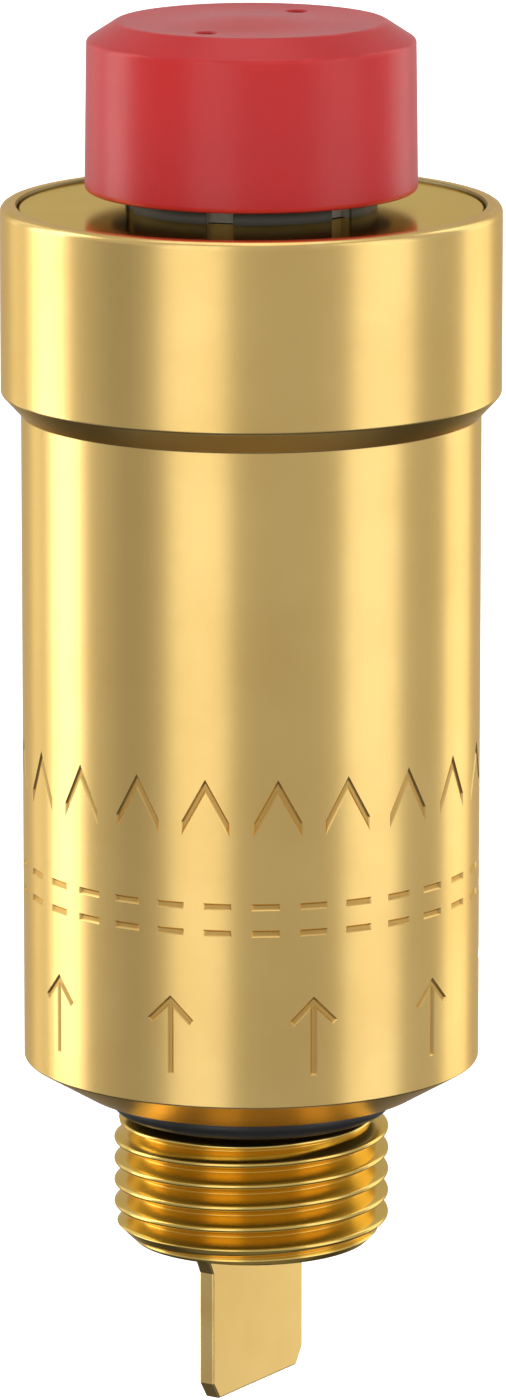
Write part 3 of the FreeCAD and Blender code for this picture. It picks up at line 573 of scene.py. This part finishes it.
def make_inlet_strip():
    """Flat strip with broken edges, drawn in its own plane and given its thickness."""
    low, high = STRIP_LOW.z, STRIP_HIGH.z
    start, end = STRIP_WIDENING
    right = [
        (STRIP_TIP_HALF, low),
        (STRIP_NARROW_HALF, low + STRIP_TIP_BEVEL),
        (STRIP_NARROW_HALF, start),
        (STRIP_WIDE_HALF, end),
        (STRIP_WIDE_HALF, CHAMBER_FLOOR),
        (STRIP_HIGH.x, CHAMBER_FLOOR),
        (STRIP_HIGH.x, high),
    ]
    outline = right + [(-x, z) for x, z in reversed(right)]
    bend = STRIP_EDGE * STRIP_EDGE_BEND
    surface = Surface()
    rings = []
    front, back = STRIP_LOW.y, STRIP_HIGH.y
    for y, distance in (
        (front, STRIP_EDGE),
        (front + bend, bend),
        (front + STRIP_EDGE, 0),
        (back - STRIP_EDGE, 0),
        (back - bend, bend),
        (back, STRIP_EDGE),
    ):
        wear = 0.0 if distance == STRIP_EDGE else WORN
        rings.append(surface.ring([(x, y, z) for x, z in inset(outline, distance)], wear))
    for ring, after in zip(rings, rings[1:]):
        surface.join_rings(ring, after, flat=True)
    surface.flat_face(list(rings[-1])[::-1])
    surface.flat_face(list(rings[0]))
    return surface.mesh("inlet_strip_plate")


# ---------------------------------------------------------------- cap


def top_height(radius):
    """Height of the cap's top over a radius: a low dome with a smooth ring-shaped valley round it."""
    valley = CAP_TOP - CAP_VALLEY_DEPTH
    if radius < CAP_VALLEY_RADIUS:
        share = (1 + math.cos(math.pi * radius / CAP_VALLEY_RADIUS)) / 2
        return valley + (CAP_HIGH.z - valley) * share
    out = (radius - CAP_VALLEY_RADIUS) / (CAP_TOP_RADIUS - CAP_VALLEY_RADIUS)
    return CAP_TOP - CAP_VALLEY_DEPTH * math.cos(math.pi / 2 * out)


def edge_circle(radius):
    """The places of a turned row, for a patch to meet it."""
    return [
        (radius * math.cos(row_angle(column)), radius * math.sin(row_angle(column)))
        for column in range(COLUMNS)
    ]


def pierced_disc(surface, outer, inner, holes, hole_radius, height_at, facing):
    """A patch between circles with round holes. height_at gives its height over a radius.

    It faces up where facing is 1 and down where it is -1.
    """
    edges = [edge_circle(outer)]
    if inner:
        edges.append(edge_circle(inner))
    edges += [circle(hole_radius, HOLE_COLUMNS, centre) for centre in holes]
    places, loops = [], []
    for edge in edges:
        loops.append(list(range(len(places), len(places) + len(edge))))
        places += edge
    for step in range(1, PATCH_STEPS):
        radius = inner + (outer - inner) * step / PATCH_STEPS
        for place in circle(radius, max(PATCH_COLUMNS, int(radius * PATCH_COLUMNS))):
            if all(math.dist(place, centre) > hole_radius + PATCH_MARGIN for centre in holes):
                places.append(place)
    if not inner:
        places.append((0.0, 0.0))
    first = len(surface.points)
    for x, y in places:
        surface.point((x, y, height_at(math.hypot(x, y))))
    for corners in triangulated(places, loops):
        middle = np.mean([places[corner] for corner in corners], axis=0)
        if math.hypot(*middle) < inner:
            continue
        if any(math.dist(middle, centre) < hole_radius for centre in holes):
            continue
        normals = []
        for corner in corners:
            x, y = places[corner]
            radius = math.hypot(x, y)
            fall = (height_at(radius) - height_at(radius + SLOPE_STEP)) / SLOPE_STEP
            lean = fall / max(radius, SLOPE_STEP)
            way = Vector((x * lean, y * lean, 1.0)).normalized()
            normals.append(tuple(way * facing))
        shifted = [first + corner for corner in corners]
        if facing < 0:
            shifted.reverse()
            normals.reverse()
        surface.face(shifted, normals)


def pierce_cap(surface, centre):
    """The wall of a vent hole, with its worn and rounded upper edge."""
    wide = CAP_HOLE_RADIUS + CAP_HOLE_EDGE
    rings = []

    def lower(radius, drop, wear=0.0):
        """A ring at a drop below the top."""
        places = circle(radius, HOLE_COLUMNS, centre)
        rings.append(surface.ring([(x, y, top_height(math.hypot(x, y)) - drop) for x, y in places], wear))

    for step in range(CAP_HOLE_STEPS, -1, -1):
        share = step / CAP_HOLE_STEPS
        turn = share * math.pi / 2
        lower(wide - CAP_HOLE_EDGE * math.cos(turn), CAP_HOLE_EDGE * (1 - math.sin(turn)), share)
    lower(CAP_HOLE_RADIUS, CAP_HOLE_EDGE + GUARD)
    narrow = CAP_HOLE_RADIUS - CAP_HOLE_NARROWING
    for radius, height in ((CAP_HOLE_RADIUS, CAP_CEILING + GUARD), (narrow, CAP_CEILING)):
        rings.append(surface.ring([(x, y, height) for x, y in circle(radius, HOLE_COLUMNS, centre)]))
    for ring, after in zip(rings, rings[1:]):
        surface.join_rings(ring, after)


def make_vent_cap():
    surface = Surface()
    bottom = CAP_LOW.z
    boss_edge, ceiling_edge = CAP_CEILING_PATCH
    skirt = rounded([
        (ceiling_edge, CAP_CEILING, 0),
        (CAP_INNER_RADIUS, CAP_CEILING, SMALL_EDGE),
        (CAP_INNER_RADIUS, bottom, CAP_INNER_ROUNDING),
        (CAP_HIGH.x, bottom, CAP_FOOT_ROUNDING),
        (CAP_SHOULDER_RADIUS, CAP_SHOULDER, CAP_SHOULDER_ROUNDING),
        (CAP_TOP_RADIUS, top_height(CAP_TOP_RADIUS), CAP_TOP_ROUNDING),
        (CAP_TOP_PATCH, top_height(CAP_TOP_PATCH), 0),
    ])
    boss = rounded([
        (0.0, CAP_CEILING, 0),
        (CAP_BORE, CAP_CEILING, SMALL_EDGE),
        (CAP_BORE, CAP_BOSS_BOTTOM, CAP_BORE_ROUNDING),
        (CAP_BOSS_RADIUS, CAP_BOSS_BOTTOM, CAP_BOSS_ROUNDING),
        (CAP_BOSS_RADIUS, CAP_CEILING, 0),
        (boss_edge, CAP_CEILING, 0),
    ])
    # Rows under and inside the cap are marked for painted shade.
    inside = (-NEAR, CAP_HIGH.x - CAP_FOOT_ROUNDING - NEAR), (0.0, CAP_CEILING + NEAR)
    surface.turn(marked(skirt, PAINTED_SHADE, *inside))
    surface.turn(marked(boss, PAINTED_SHADE, *inside))
    holes = [
        (CAP_HOLE_CIRCLE * math.cos(angle), CAP_HOLE_CIRCLE * math.sin(angle))
        for angle in (CAP_HOLE_PHASE, CAP_HOLE_PHASE + math.pi)
    ]
    wide, narrow = CAP_HOLE_RADIUS + CAP_HOLE_EDGE, CAP_HOLE_RADIUS - CAP_HOLE_NARROWING
    pierced_disc(surface, CAP_TOP_PATCH, 0.0, holes, wide, top_height, 1)
    pierced_disc(surface, ceiling_edge, boss_edge, holes, narrow, lambda radius: CAP_CEILING, -1)
    for centre in holes:
        pierce_cap(surface, centre)
    return surface.mesh("vent_cap_moulded")


# ---------------------------------------------------------------- finishes

BRASS_TONE = (0.90, 0.63, 0.23)
TARNISHED = (0.93, 0.90, 0.84)    # what faint tarnish leaves of the tone
BRIGHTENED = (1.04, 1.06, 1.15)   # what a worn edge makes of it
DUG = (0.80, 0.74, 0.62)          # what an engraved floor makes of it
GRIME_TONE = (0.34, 0.30, 0.16)
# Painted shade: the thread is given a deeper, more saturated brass, for light bounced between its flanks.
THREAD_SHADE_TONE = (0.84, 0.60, 0.17)
THREAD_TOP = (-1.6, -1.4)         # heights between which the thread's tone gives way
THREAD_SMOOTHER = 0.045
ENGRAVED_DULLER = 0.22
WORN_SMOOTHER = 0.05
BRASS_EDGE_TONE = (1.0, 0.85, 0.60, 1.0)
PLATE_EDGE_TONE = (1.0, 0.85, 0.42, 1.0)
RING_BREAKS = 0.01                # how fast the turned rings change across X
RING_RELIEF = 0.000003            # depth of the rings' relief in metres, for a lines value of 1
FINE_RELIEF = 0.3                 # depth of the fine noise's relief, as a share of theirs

RED_TONE = (0.375, 0.006, 0.0075)
WHITE_TONE = (0.80, 0.79, 0.74)
RUBBER_TONE = (0.008, 0.008, 0.009)
CLOUDED_SHARE = 0.90              # of a plastic's tone, where it is clouded
PAINTED_SHADE_SHARE = 0.3             # and on the cap's inside, where shade is painted
RUBBED_GAIN = 1.12                # a rubbed edge's tone is the plastic's with this gain and lift
RUBBED_LIFT = 0.012
RUBBED_MOST = 0.6                 # how far the most rubbed edge goes to that tone

# The insert's plastic. Each pair is the start and the end of a patch's soft edge, in millimetres.
INSERT_TONE = (0.011, 0.009, 0.006)
INSERT_CLOUDED = (0.008, 0.007, 0.005)
CROWN_RADIUS = INSERT_HIGH.x
CROWN_FOOT = PLATE_HIGH.z
CROWN_HEIGHT = 2.45
CROWN_TOP = CROWN_FOOT + CROWN_HEIGHT
NOTCH_RADII = (5.6, 6.0), (CROWN_RADIUS - 0.28, CROWN_RADIUS - 0.12)
NOTCH_HEIGHTS = (CROWN_FOOT - 0.05, CROWN_FOOT + 0.01), (CROWN_TOP - 0.25, CROWN_TOP - 0.15)
# Painted reflection: the notch floors take this pale grey in place of the lamps seen in them.
NOTCH_REFLECTION_TONE = (0.50, 0.47, 0.41)
NOTCH_DULLER = 0.2
# Painted highlight: a lighter grey band round the crown's foot, where light comes in under the cap.
FOOT_HIGHLIGHT_RADIUS = (CROWN_RADIUS - 0.6, CROWN_RADIUS - 0.5)
FOOT_HIGHLIGHT_HEIGHTS = (CROWN_FOOT - 0.35, CROWN_FOOT + 0.35), (CROWN_FOOT + 0.25, CROWN_FOOT + 0.85)
FOOT_HIGHLIGHT_TONE = (0.15, 0.15, 0.14)
FOOT_HIGHLIGHT_MOST = 0.85

STEEL_TONE = (0.62, 0.61, 0.59)
STEEL_CLOUDED = (0.52, 0.51, 0.50)
BRUSH_STRETCH = (0.08, 1.0, 1.0)  # draws the steel's grain out along X


class Finish:
    """A node material built round one Principled shader."""

    MIX_COLOURS = (6, 7)   # a Mix node's two colour inputs
    MIX_RESULT = 2         # and its colour output

    def __init__(self, name, **values):
        self.material = bpy.data.materials.new(name)
        self.material.use_nodes = True
        self.tree = self.material.node_tree
        self.shader = self.tree.nodes["Principled BSDF"]
        for socket, value in values.items():
            self.shader.inputs[socket.replace("_", " ")].default_value = value
        self.place = self.node("ShaderNodeTexCoord").outputs["Object"]

    def node(self, kind, **settings):
        made = self.tree.nodes.new(kind)
        for key, value in settings.items():
            setattr(made, key, value)
        return made

    def link(self, source, target):
        self.tree.links.new(source, target)

    def colour(self, source):
        self.link(source, self.shader.inputs["Base Color"])

    def roughness(self, source):
        self.link(source, self.shader.inputs["Roughness"])

    def noise(self, scale, detail, vector=None):
        """Noise with features of about 1 / scale metres."""
        made = self.node("ShaderNodeTexNoise")
        made.inputs["Scale"].default_value = scale
        made.inputs["Detail"].default_value = detail
        self.link(vector or self.place, made.inputs["Vector"])
        return made.outputs["Fac"]

    def spread(self, value, low, high, start=0.3, end=0.7):
        """A value from start to end, spread from low to high. Noise is mostly from 0.3 to 0.7."""
        made = self.node("ShaderNodeMapRange")
        for socket, number in zip(("From Min", "From Max", "To Min", "To Max"), (start, end, low, high)):
            made.inputs[socket].default_value = number
        self.link(value, made.inputs["Value"])
        return made.outputs["Result"]

    def about_zero(self, noise, reach):
        """Noise spread from -reach to reach."""
        return self.spread(noise, -reach, reach)

    def maths(self, operation, first, second):
        made = self.node("ShaderNodeMath", operation=operation)
        for socket, value in zip(made.inputs, (first, second)):
            if isinstance(value, (int, float)):
                socket.default_value = value
            else:
                self.link(value, socket)
        return made.outputs["Value"]

    def times(self, *values):
        return functools.reduce(functools.partial(self.maths, "MULTIPLY"), values)

    def total(self, *values):
        return functools.reduce(functools.partial(self.maths, "ADD"), values)

    def mix(self, share, first, second):
        """A colour from first to second."""
        made = self.node("ShaderNodeMix", data_type="RGBA")
        self.link(share, made.inputs["Factor"])
        for socket, value in zip(self.MIX_COLOURS, (first, second)):
            if isinstance(value, tuple):
                made.inputs[socket].default_value = (*value, 1.0)
            else:
                self.link(value, made.inputs[socket])
        return made.outputs[self.MIX_RESULT]

    def bump(self, height, depth):
        """Relief of a depth in metres."""
        made = self.node("ShaderNodeBump")
        made.inputs["Strength"].default_value = 1.0
        made.inputs["Distance"].default_value = depth
        self.link(height, made.inputs["Height"])
        self.link(made.outputs["Normal"], self.shader.inputs["Normal"])

    def parts(self):
        """The place's X, Y and Z, in metres."""
        made = self.node("ShaderNodeSeparateXYZ")
        self.link(self.place, made.inputs["Vector"])
        return made.outputs

    def radius(self, parts):
        """The distance from the axis, in metres."""
        squares = [self.times(parts[axis], parts[axis]) for axis in ("X", "Y")]
        return self.maths("SQRT", self.total(*squares), 0.0)

    def past(self, distance, edge):
        """From 0 to 1 over an edge, a pair in millimetres. The distance is in metres."""
        start, end = edge
        return self.spread(distance, 0.0, 1.0, start * MM, end * MM)

    def short_of(self, distance, edge):
        """From 1 to 0 over an edge, a pair in millimetres. The distance is in metres."""
        start, end = edge
        return self.spread(distance, 1.0, 0.0, start * MM, end * MM)

    def within(self, distance, edges):
        """1 between two edges and 0 outside them."""
        rise, fall = edges
        return self.times(self.past(distance, rise), self.short_of(distance, fall))

    def turning_lines(self):
        """Fine rings, as a lathe leaves them on walls and faces alike."""
        parts = self.parts()
        rings = self.node("ShaderNodeCombineXYZ")
        self.link(self.radius(parts), rings.inputs["X"])
        self.link(parts["Z"], rings.inputs["Y"])
        self.link(self.times(parts["X"], RING_BREAKS), rings.inputs["Z"])
        return self.noise(scale=9000.0, detail=3.0, vector=rings.outputs["Vector"])

    def wear(self):
        return self.node("ShaderNodeAttribute", attribute_name="wear").outputs["Fac"]

    def engraved(self):
        """How far into an engraved floor, and into the cap's inside that is painted in shade, the surface
        is.
        """
        return self.spread(self.wear(), 0.0, 1.0, start=0.0, end=ENGRAVED)

    def grimed(self):
        """How far into the grime above the head plate the surface is."""
        return self.spread(self.wear(), 0.0, 1.0, start=ENGRAVED, end=GRIMED)

    def worn(self):
        """How worn the surface is: on edges, in patches."""
        edge = self.maths("MAXIMUM", self.wear(), 0.0)
        patches = self.spread(self.noise(scale=350.0, detail=3.0), 0.0, 1.0, start=0.4, end=0.62)
        return self.times(edge, patches)


def toned(tone, shares):
    """A colour with each of its parts times a share, and none past 1."""
    return tuple(min(1.0, part * share) for part, share in zip(tone, shares))


def brass(name, roughness, lines, edge_tone=BRASS_EDGE_TONE, threaded=False):
    """Turned and polished brass: fine rings, faint tarnish in clouds, brighter worn edges.

    The rings raise and lower the roughness by lines. A threaded piece is painted a little deeper in colour
    on its thread, as shade from light bounced between its flanks, and is smoother there.
    """
    finish = Finish(name, Metallic=1.0, Specular_Tint=edge_tone)
    clouds = finish.noise(scale=130.0, detail=4.0)
    fine = finish.noise(scale=1400.0, detail=2.0)
    rings = finish.turning_lines()
    worn = finish.worn()
    engraved = finish.engraved()
    tarnish = finish.spread(clouds, 0.0, 1.0, start=0.35, end=0.75)
    body = finish.mix(tarnish, BRASS_TONE, toned(BRASS_TONE, TARNISHED))
    body = finish.mix(worn, body, toned(BRASS_TONE, BRIGHTENED))
    body = finish.mix(engraved, body, toned(BRASS_TONE, DUG))
    body = finish.mix(finish.grimed(), body, GRIME_TONE)
    dull = [
        finish.about_zero(clouds, reach=0.01),
        finish.about_zero(rings, reach=lines),
        finish.about_zero(fine, reach=0.003),
        roughness,
        finish.times(engraved, ENGRAVED_DULLER),
        finish.times(worn, -WORN_SMOOTHER),
    ]
    if threaded:
        # Painted shade: a deeper tone on the thread.
        on_thread = finish.short_of(finish.parts()["Z"], THREAD_TOP)
        body = finish.mix(on_thread, body, THREAD_SHADE_TONE)
        dull.append(finish.times(on_thread, -THREAD_SMOOTHER))
    finish.colour(body)
    finish.roughness(finish.total(*dull))
    finish.bump(finish.total(rings, finish.times(fine, FINE_RELIEF)), depth=lines * RING_RELIEF)
    return finish.material


def moulded(name, tone, roughness, grain, **values):
    """Moulded plastic or rubber: a faint grain, slight clouds of colour and edges worn lighter. The inside
    of the red cap is painted darker, as shade.
    """
    finish = Finish(name, **values)
    clouds = finish.noise(scale=160.0, detail=3.0)
    fine = finish.noise(scale=3600.0, detail=2.0)
    clouded = tuple(part * CLOUDED_SHARE for part in tone)
    paler = tuple(min(1.0, part * RUBBED_GAIN + RUBBED_LIFT) for part in tone)
    # Painted shade: the cap's inside takes this darker tone.
    painted_shade = tuple(part * PAINTED_SHADE_SHARE for part in tone)
    body = finish.mix(finish.spread(clouds, 0.0, 1.0), tone, clouded)
    body = finish.mix(finish.times(finish.worn(), RUBBED_MOST), body, paler)
    finish.colour(finish.mix(finish.engraved(), body, painted_shade))
    finish.roughness(finish.total(
        finish.spread(clouds, low=roughness - 0.015, high=roughness + 0.025),
        finish.about_zero(fine, reach=0.012),
    ))
    finish.bump(fine, depth=grain)
    return finish.material


def insert_plastic():
    """Black plastic of the valve insert, with painted light: a pale grey painted reflection in its tool
    notches, and a lighter grey painted highlight in a band round its foot.
    """
    finish = Finish("black_plastic_moulded", Specular_IOR_Level=0.06)
    clouds = finish.noise(scale=160.0, detail=3.0)
    fine = finish.noise(scale=3600.0, detail=2.0)
    patches = finish.spread(finish.noise(scale=900.0, detail=3.0), low=0.7, high=1.0)
    parts = finish.parts()
    height, radius = parts["Z"], finish.radius(parts)
    # Painted reflection: pale grey on the notch floors.
    paler = finish.times(
        finish.within(radius, NOTCH_RADII), finish.within(height, NOTCH_HEIGHTS), patches,
    )
    # Painted highlight: a lighter band round the crown's foot.
    foot_highlight = finish.times(
        finish.past(radius, FOOT_HIGHLIGHT_RADIUS), finish.within(height, FOOT_HIGHLIGHT_HEIGHTS), FOOT_HIGHLIGHT_MOST,
    )
    body = finish.mix(finish.spread(clouds, 0.0, 1.0), INSERT_TONE, INSERT_CLOUDED)
    body = finish.mix(foot_highlight, body, FOOT_HIGHLIGHT_TONE)
    finish.colour(finish.mix(paler, body, NOTCH_REFLECTION_TONE))
    finish.roughness(finish.total(
        finish.spread(clouds, low=0.32, high=0.38),
        finish.about_zero(fine, reach=0.03),
        finish.times(paler, NOTCH_DULLER),
    ))
    finish.bump(fine, depth=0.000004)
    return finish.material


def steel(name):
    """Rolled and drawn stainless steel, with a fine brushed grain."""
    finish = Finish(name, Metallic=1.0)
    stretch = finish.node("ShaderNodeMapping")
    stretch.inputs["Scale"].default_value = BRUSH_STRETCH
    finish.link(finish.place, stretch.inputs["Vector"])
    grain = finish.noise(scale=6000.0, detail=2.0, vector=stretch.outputs["Vector"])
    clouds = finish.noise(scale=300.0, detail=3.0)
    finish.colour(finish.mix(finish.spread(clouds, 0.0, 1.0), STEEL_TONE, STEEL_CLOUDED))
    finish.roughness(finish.spread(grain, low=0.285, high=0.40))
    finish.bump(grain, depth=0.000004)
    return finish.material


def make_finishes():
    """The finishes by slot, and one more for the head plate."""
    return {
        "polished_brass": brass("polished_brass_turned", roughness=0.257, lines=0.002, threaded=True),
        "plate_brass": brass(
            "polished_brass_faced", roughness=0.15, lines=0.008, edge_tone=PLATE_EDGE_TONE,
        ),
        "machined_brass": brass("machined_brass_plain", roughness=0.31, lines=0.012),
        "red_plastic": moulded(
            "red_plastic_moulded", RED_TONE, roughness=0.31, grain=0.000002, Specular_IOR_Level=0.42,
        ),
        "black_plastic": insert_plastic(),
        "white_plastic": moulded("white_plastic_moulded", WHITE_TONE, roughness=0.42, grain=0.000006),
        "black_rubber": moulded("black_rubber_moulded", RUBBER_TONE, roughness=0.35, grain=0.00001),
        "stainless_steel": steel("stainless_steel_rolled"),
    }


# ---------------------------------------------------------------- stage, in metres

CAMERA_BEARING = math.radians(-57.1)  # 0 looks along +Y
CAMERA_PITCH = math.radians(12.1)
CAMERA_DISTANCE = 0.5199
CAMERA_TARGET = Vector((0.0, 0.0, 0.02375))
CAMERA_LENS = 222.4
CAMERA_SHIFT = 0.0012
CAMERA_REACH = (0.01, 20.0)           # the nearest and the furthest that it sees

# Upright softboxes round the vent: bearing from the camera's side (right is positive), the angle
# that the panel fills, its lower edge and its radiance.
SOFTBOXES = {
    "softbox_far_left": (-136.0, 13.0, -0.17, 0.5),
    "softbox_left": (-106.0, 25.0, -0.17, 2.1),
    "softbox_front": (-26.0, 30.0, -0.17, 0.82),
    "softbox_right": (62.5, 32.0, -0.17, 0.84),
    "softbox_back": (126.0, 27.0, -0.22, 0.92),
}
SOFTBOX_DISTANCE = 0.5
SOFTBOX_TOP = 0.57
OVERHEAD_HEIGHT = 0.9
OVERHEAD_SIZE = 0.7
OVERHEAD_RADIANCE = 0.78

# The studio's light from straight down, 0, to straight up, 1.
STUDIO_LIGHT = (
    (0.0, 0.22), (0.04, 0.17), (0.10, 0.04), (0.20, 0.09),
    (0.30, 0.32), (0.38, 0.53), (0.6, 0.52), (1.0, 0.55),
)
DRAPE_BEARING = -61.0
DRAPE_EDGE = (0.94, 0.995)  # cosines of the angle from the drape's middle
DRAPE_SHADE = 0.6           # of the studio's light in its middle

# The floor, in millimetres as every surface is.
FLOOR_HEIGHT = -300.0
FLOOR_RADIUS = 2600.0
SWEEP_RADIUS = 1200.0
SWEEP_STEPS = 12
WALL_HEIGHT = 5000.0
FLOOR_COLUMNS = 160
FLOOR_TONE = (0.86, 0.86, 0.85, 1.0)
FLOOR_ROUGHNESS = 0.9
FLOOR_GLOW = 0.42


def camera_side():
    """Unit vector from the object to the camera, level with the floor."""
    return Vector((math.sin(CAMERA_BEARING), -math.cos(CAMERA_BEARING), 0.0))


def make_camera():
    data = bpy.data.cameras.new("camera")
    data.lens = CAMERA_LENS
    data.shift_x = CAMERA_SHIFT
    data.clip_start, data.clip_end = CAMERA_REACH
    camera = bpy.data.objects.new("camera", data)
    bpy.context.collection.objects.link(camera)
    back = camera_side() * math.cos(CAMERA_PITCH) + Vector((0.0, 0.0, math.sin(CAMERA_PITCH)))
    camera.location = CAMERA_TARGET + back * CAMERA_DISTANCE
    camera.rotation_mode = "QUATERNION"
    camera.rotation_quaternion = (-back).to_track_quat("-Z", "Y")
    bpy.context.scene.camera = camera


def add_softbox(name, place, target, width, height, radiance):
    """A lamp panel that faces a target. Radiance is that of its surface."""
    data = bpy.data.lights.new(name, "AREA")
    data.shape = "RECTANGLE"
    data.size = width
    data.size_y = height
    data.energy = radiance * math.pi * width * height
    lamp = bpy.data.objects.new(name, data)
    bpy.context.collection.objects.link(lamp)
    lamp.location = place
    lamp.rotation_mode = "QUATERNION"
    lamp.rotation_quaternion = (target - place).to_track_quat("-Z", "Y")
    lamp.visible_camera = False


def bearing_way(bearing):
    """Unit vector level with the floor, at a bearing in degrees from the camera's side."""
    front = math.atan2(camera_side().y, camera_side().x)
    turn = front + math.radians(bearing)
    return Vector((math.cos(turn), math.sin(turn), 0.0))


def make_lights():
    for name, (bearing, angle, low, radiance) in SOFTBOXES.items():
        height = SOFTBOX_TOP - low
        level = Vector((0.0, 0.0, low + height / 2))
        place = level + bearing_way(bearing) * SOFTBOX_DISTANCE
        width = 2 * SOFTBOX_DISTANCE * math.tan(math.radians(angle) / 2)
        add_softbox(name, place, level, width, height, radiance)
    above = Vector((0.0, 0.0, OVERHEAD_HEIGHT))
    add_softbox("softbox_top", above, CAMERA_TARGET, OVERHEAD_SIZE, OVERHEAD_SIZE, OVERHEAD_RADIANCE)


def make_world():
    """A plain studio: dim below, grey at eye level, lighter above, with one darker drape."""
    world = bpy.data.worlds.new("studio")
    world.use_nodes = True
    tree = world.node_tree
    background = tree.nodes["Background"]
    place = tree.nodes.new("ShaderNodeTexCoord")
    parts = tree.nodes.new("ShaderNodeSeparateXYZ")
    span = tree.nodes.new("ShaderNodeMapRange")
    span.inputs["From Min"].default_value = -1.0
    ramp = tree.nodes.new("ShaderNodeValToRGB")
    stops = ramp.color_ramp.elements
    while len(stops) < len(STUDIO_LIGHT):
        stops.new(0.5)
    for stop, (at, value) in zip(stops, STUDIO_LIGHT):
        stop.position = at
        stop.color = (value, value, value, 1.0)
    towards = tree.nodes.new("ShaderNodeVectorMath")
    towards.operation = "DOT_PRODUCT"
    towards.inputs[1].default_value = bearing_way(DRAPE_BEARING)
    drape = tree.nodes.new("ShaderNodeMapRange")
    drape.interpolation_type = "SMOOTHSTEP"
    for socket, value in zip(("From Min", "From Max", "To Min", "To Max"), (*DRAPE_EDGE, 1.0, DRAPE_SHADE)):
        drape.inputs[socket].default_value = value
    tree.links.new(place.outputs["Generated"], parts.inputs["Vector"])
    tree.links.new(place.outputs["Generated"], towards.inputs[0])
    tree.links.new(towards.outputs["Value"], drape.inputs["Value"])
    tree.links.new(parts.outputs["Z"], span.inputs["Value"])
    tree.links.new(span.outputs["Result"], ramp.inputs["Fac"])
    tree.links.new(ramp.outputs["Color"], background.inputs["Color"])
    tree.links.new(drape.outputs["Result"], background.inputs["Strength"])
    bpy.context.scene.world = world


def make_floor():
    """Plain pale floor that sweeps up into a wall all round."""
    surface = Surface()
    rows = [(FLOOR_RADIUS + SWEEP_RADIUS, WALL_HEIGHT, 0.0)]
    for step in range(SWEEP_STEPS + 1):
        turn = math.pi / 2 * step / SWEEP_STEPS
        reach = FLOOR_RADIUS + SWEEP_RADIUS * math.cos(turn)
        rows.append((reach, FLOOR_HEIGHT + SWEEP_RADIUS * (1 - math.sin(turn)), 0.0))
    rows.append((0.0, FLOOR_HEIGHT, 0.0))
    surface.turn(rows, FLOOR_COLUMNS)
    floor = surface.mesh("floor")
    material = bpy.data.materials.new("pale_floor")
    material.use_nodes = True
    shader = material.node_tree.nodes["Principled BSDF"]
    shader.inputs["Base Color"].default_value = FLOOR_TONE
    shader.inputs["Roughness"].default_value = FLOOR_ROUGHNESS
    shader.inputs["Emission Color"].default_value = (1.0, 1.0, 1.0, 1.0)
    shader.inputs["Emission Strength"].default_value = FLOOR_GLOW
    floor.data.materials.append(material)
    floor.visible_glossy = False
    floor.visible_shadow = False


# ---------------------------------------------------------------- assembly


def dress(piece, finish, slot, body, *nodes):
    """Give a new piece its finish and its body, and hide the CAD nodes that it stands for."""
    piece.data.materials.append(finish)
    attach(piece, body)
    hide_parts(*nodes)


def main():
    finishes = make_finishes()
    for made, finish, slot, body, node in (
        (make_housing(), "polished_brass", "polished_brass", "housing_body", "housing"),
        (make_head_plate(), "plate_brass", "polished_brass", "housing_body", "head_plate"),
        (make_connection_seal(), "black_rubber", "black_rubber", "housing_body", "connection_seal"),
        (make_inlet_strip(), "machined_brass", "machined_brass", "housing_body", "inlet_strip"),
        (make_vent_cap(), "red_plastic", "red_plastic", "cap", "vent_cap"),
    ):
        dress(made, finishes[finish], slot, body, node)
    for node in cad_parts.values():
        for holder in node.material_slots:
            holder.material = finishes[holder.material.name.split(".")[0]]
    make_world()
    make_lights()
    make_floor()
    make_camera()
    scene = bpy.context.scene
    scene.view_settings.view_transform = "Standard"
    scene.view_settings.look = "None"


main()
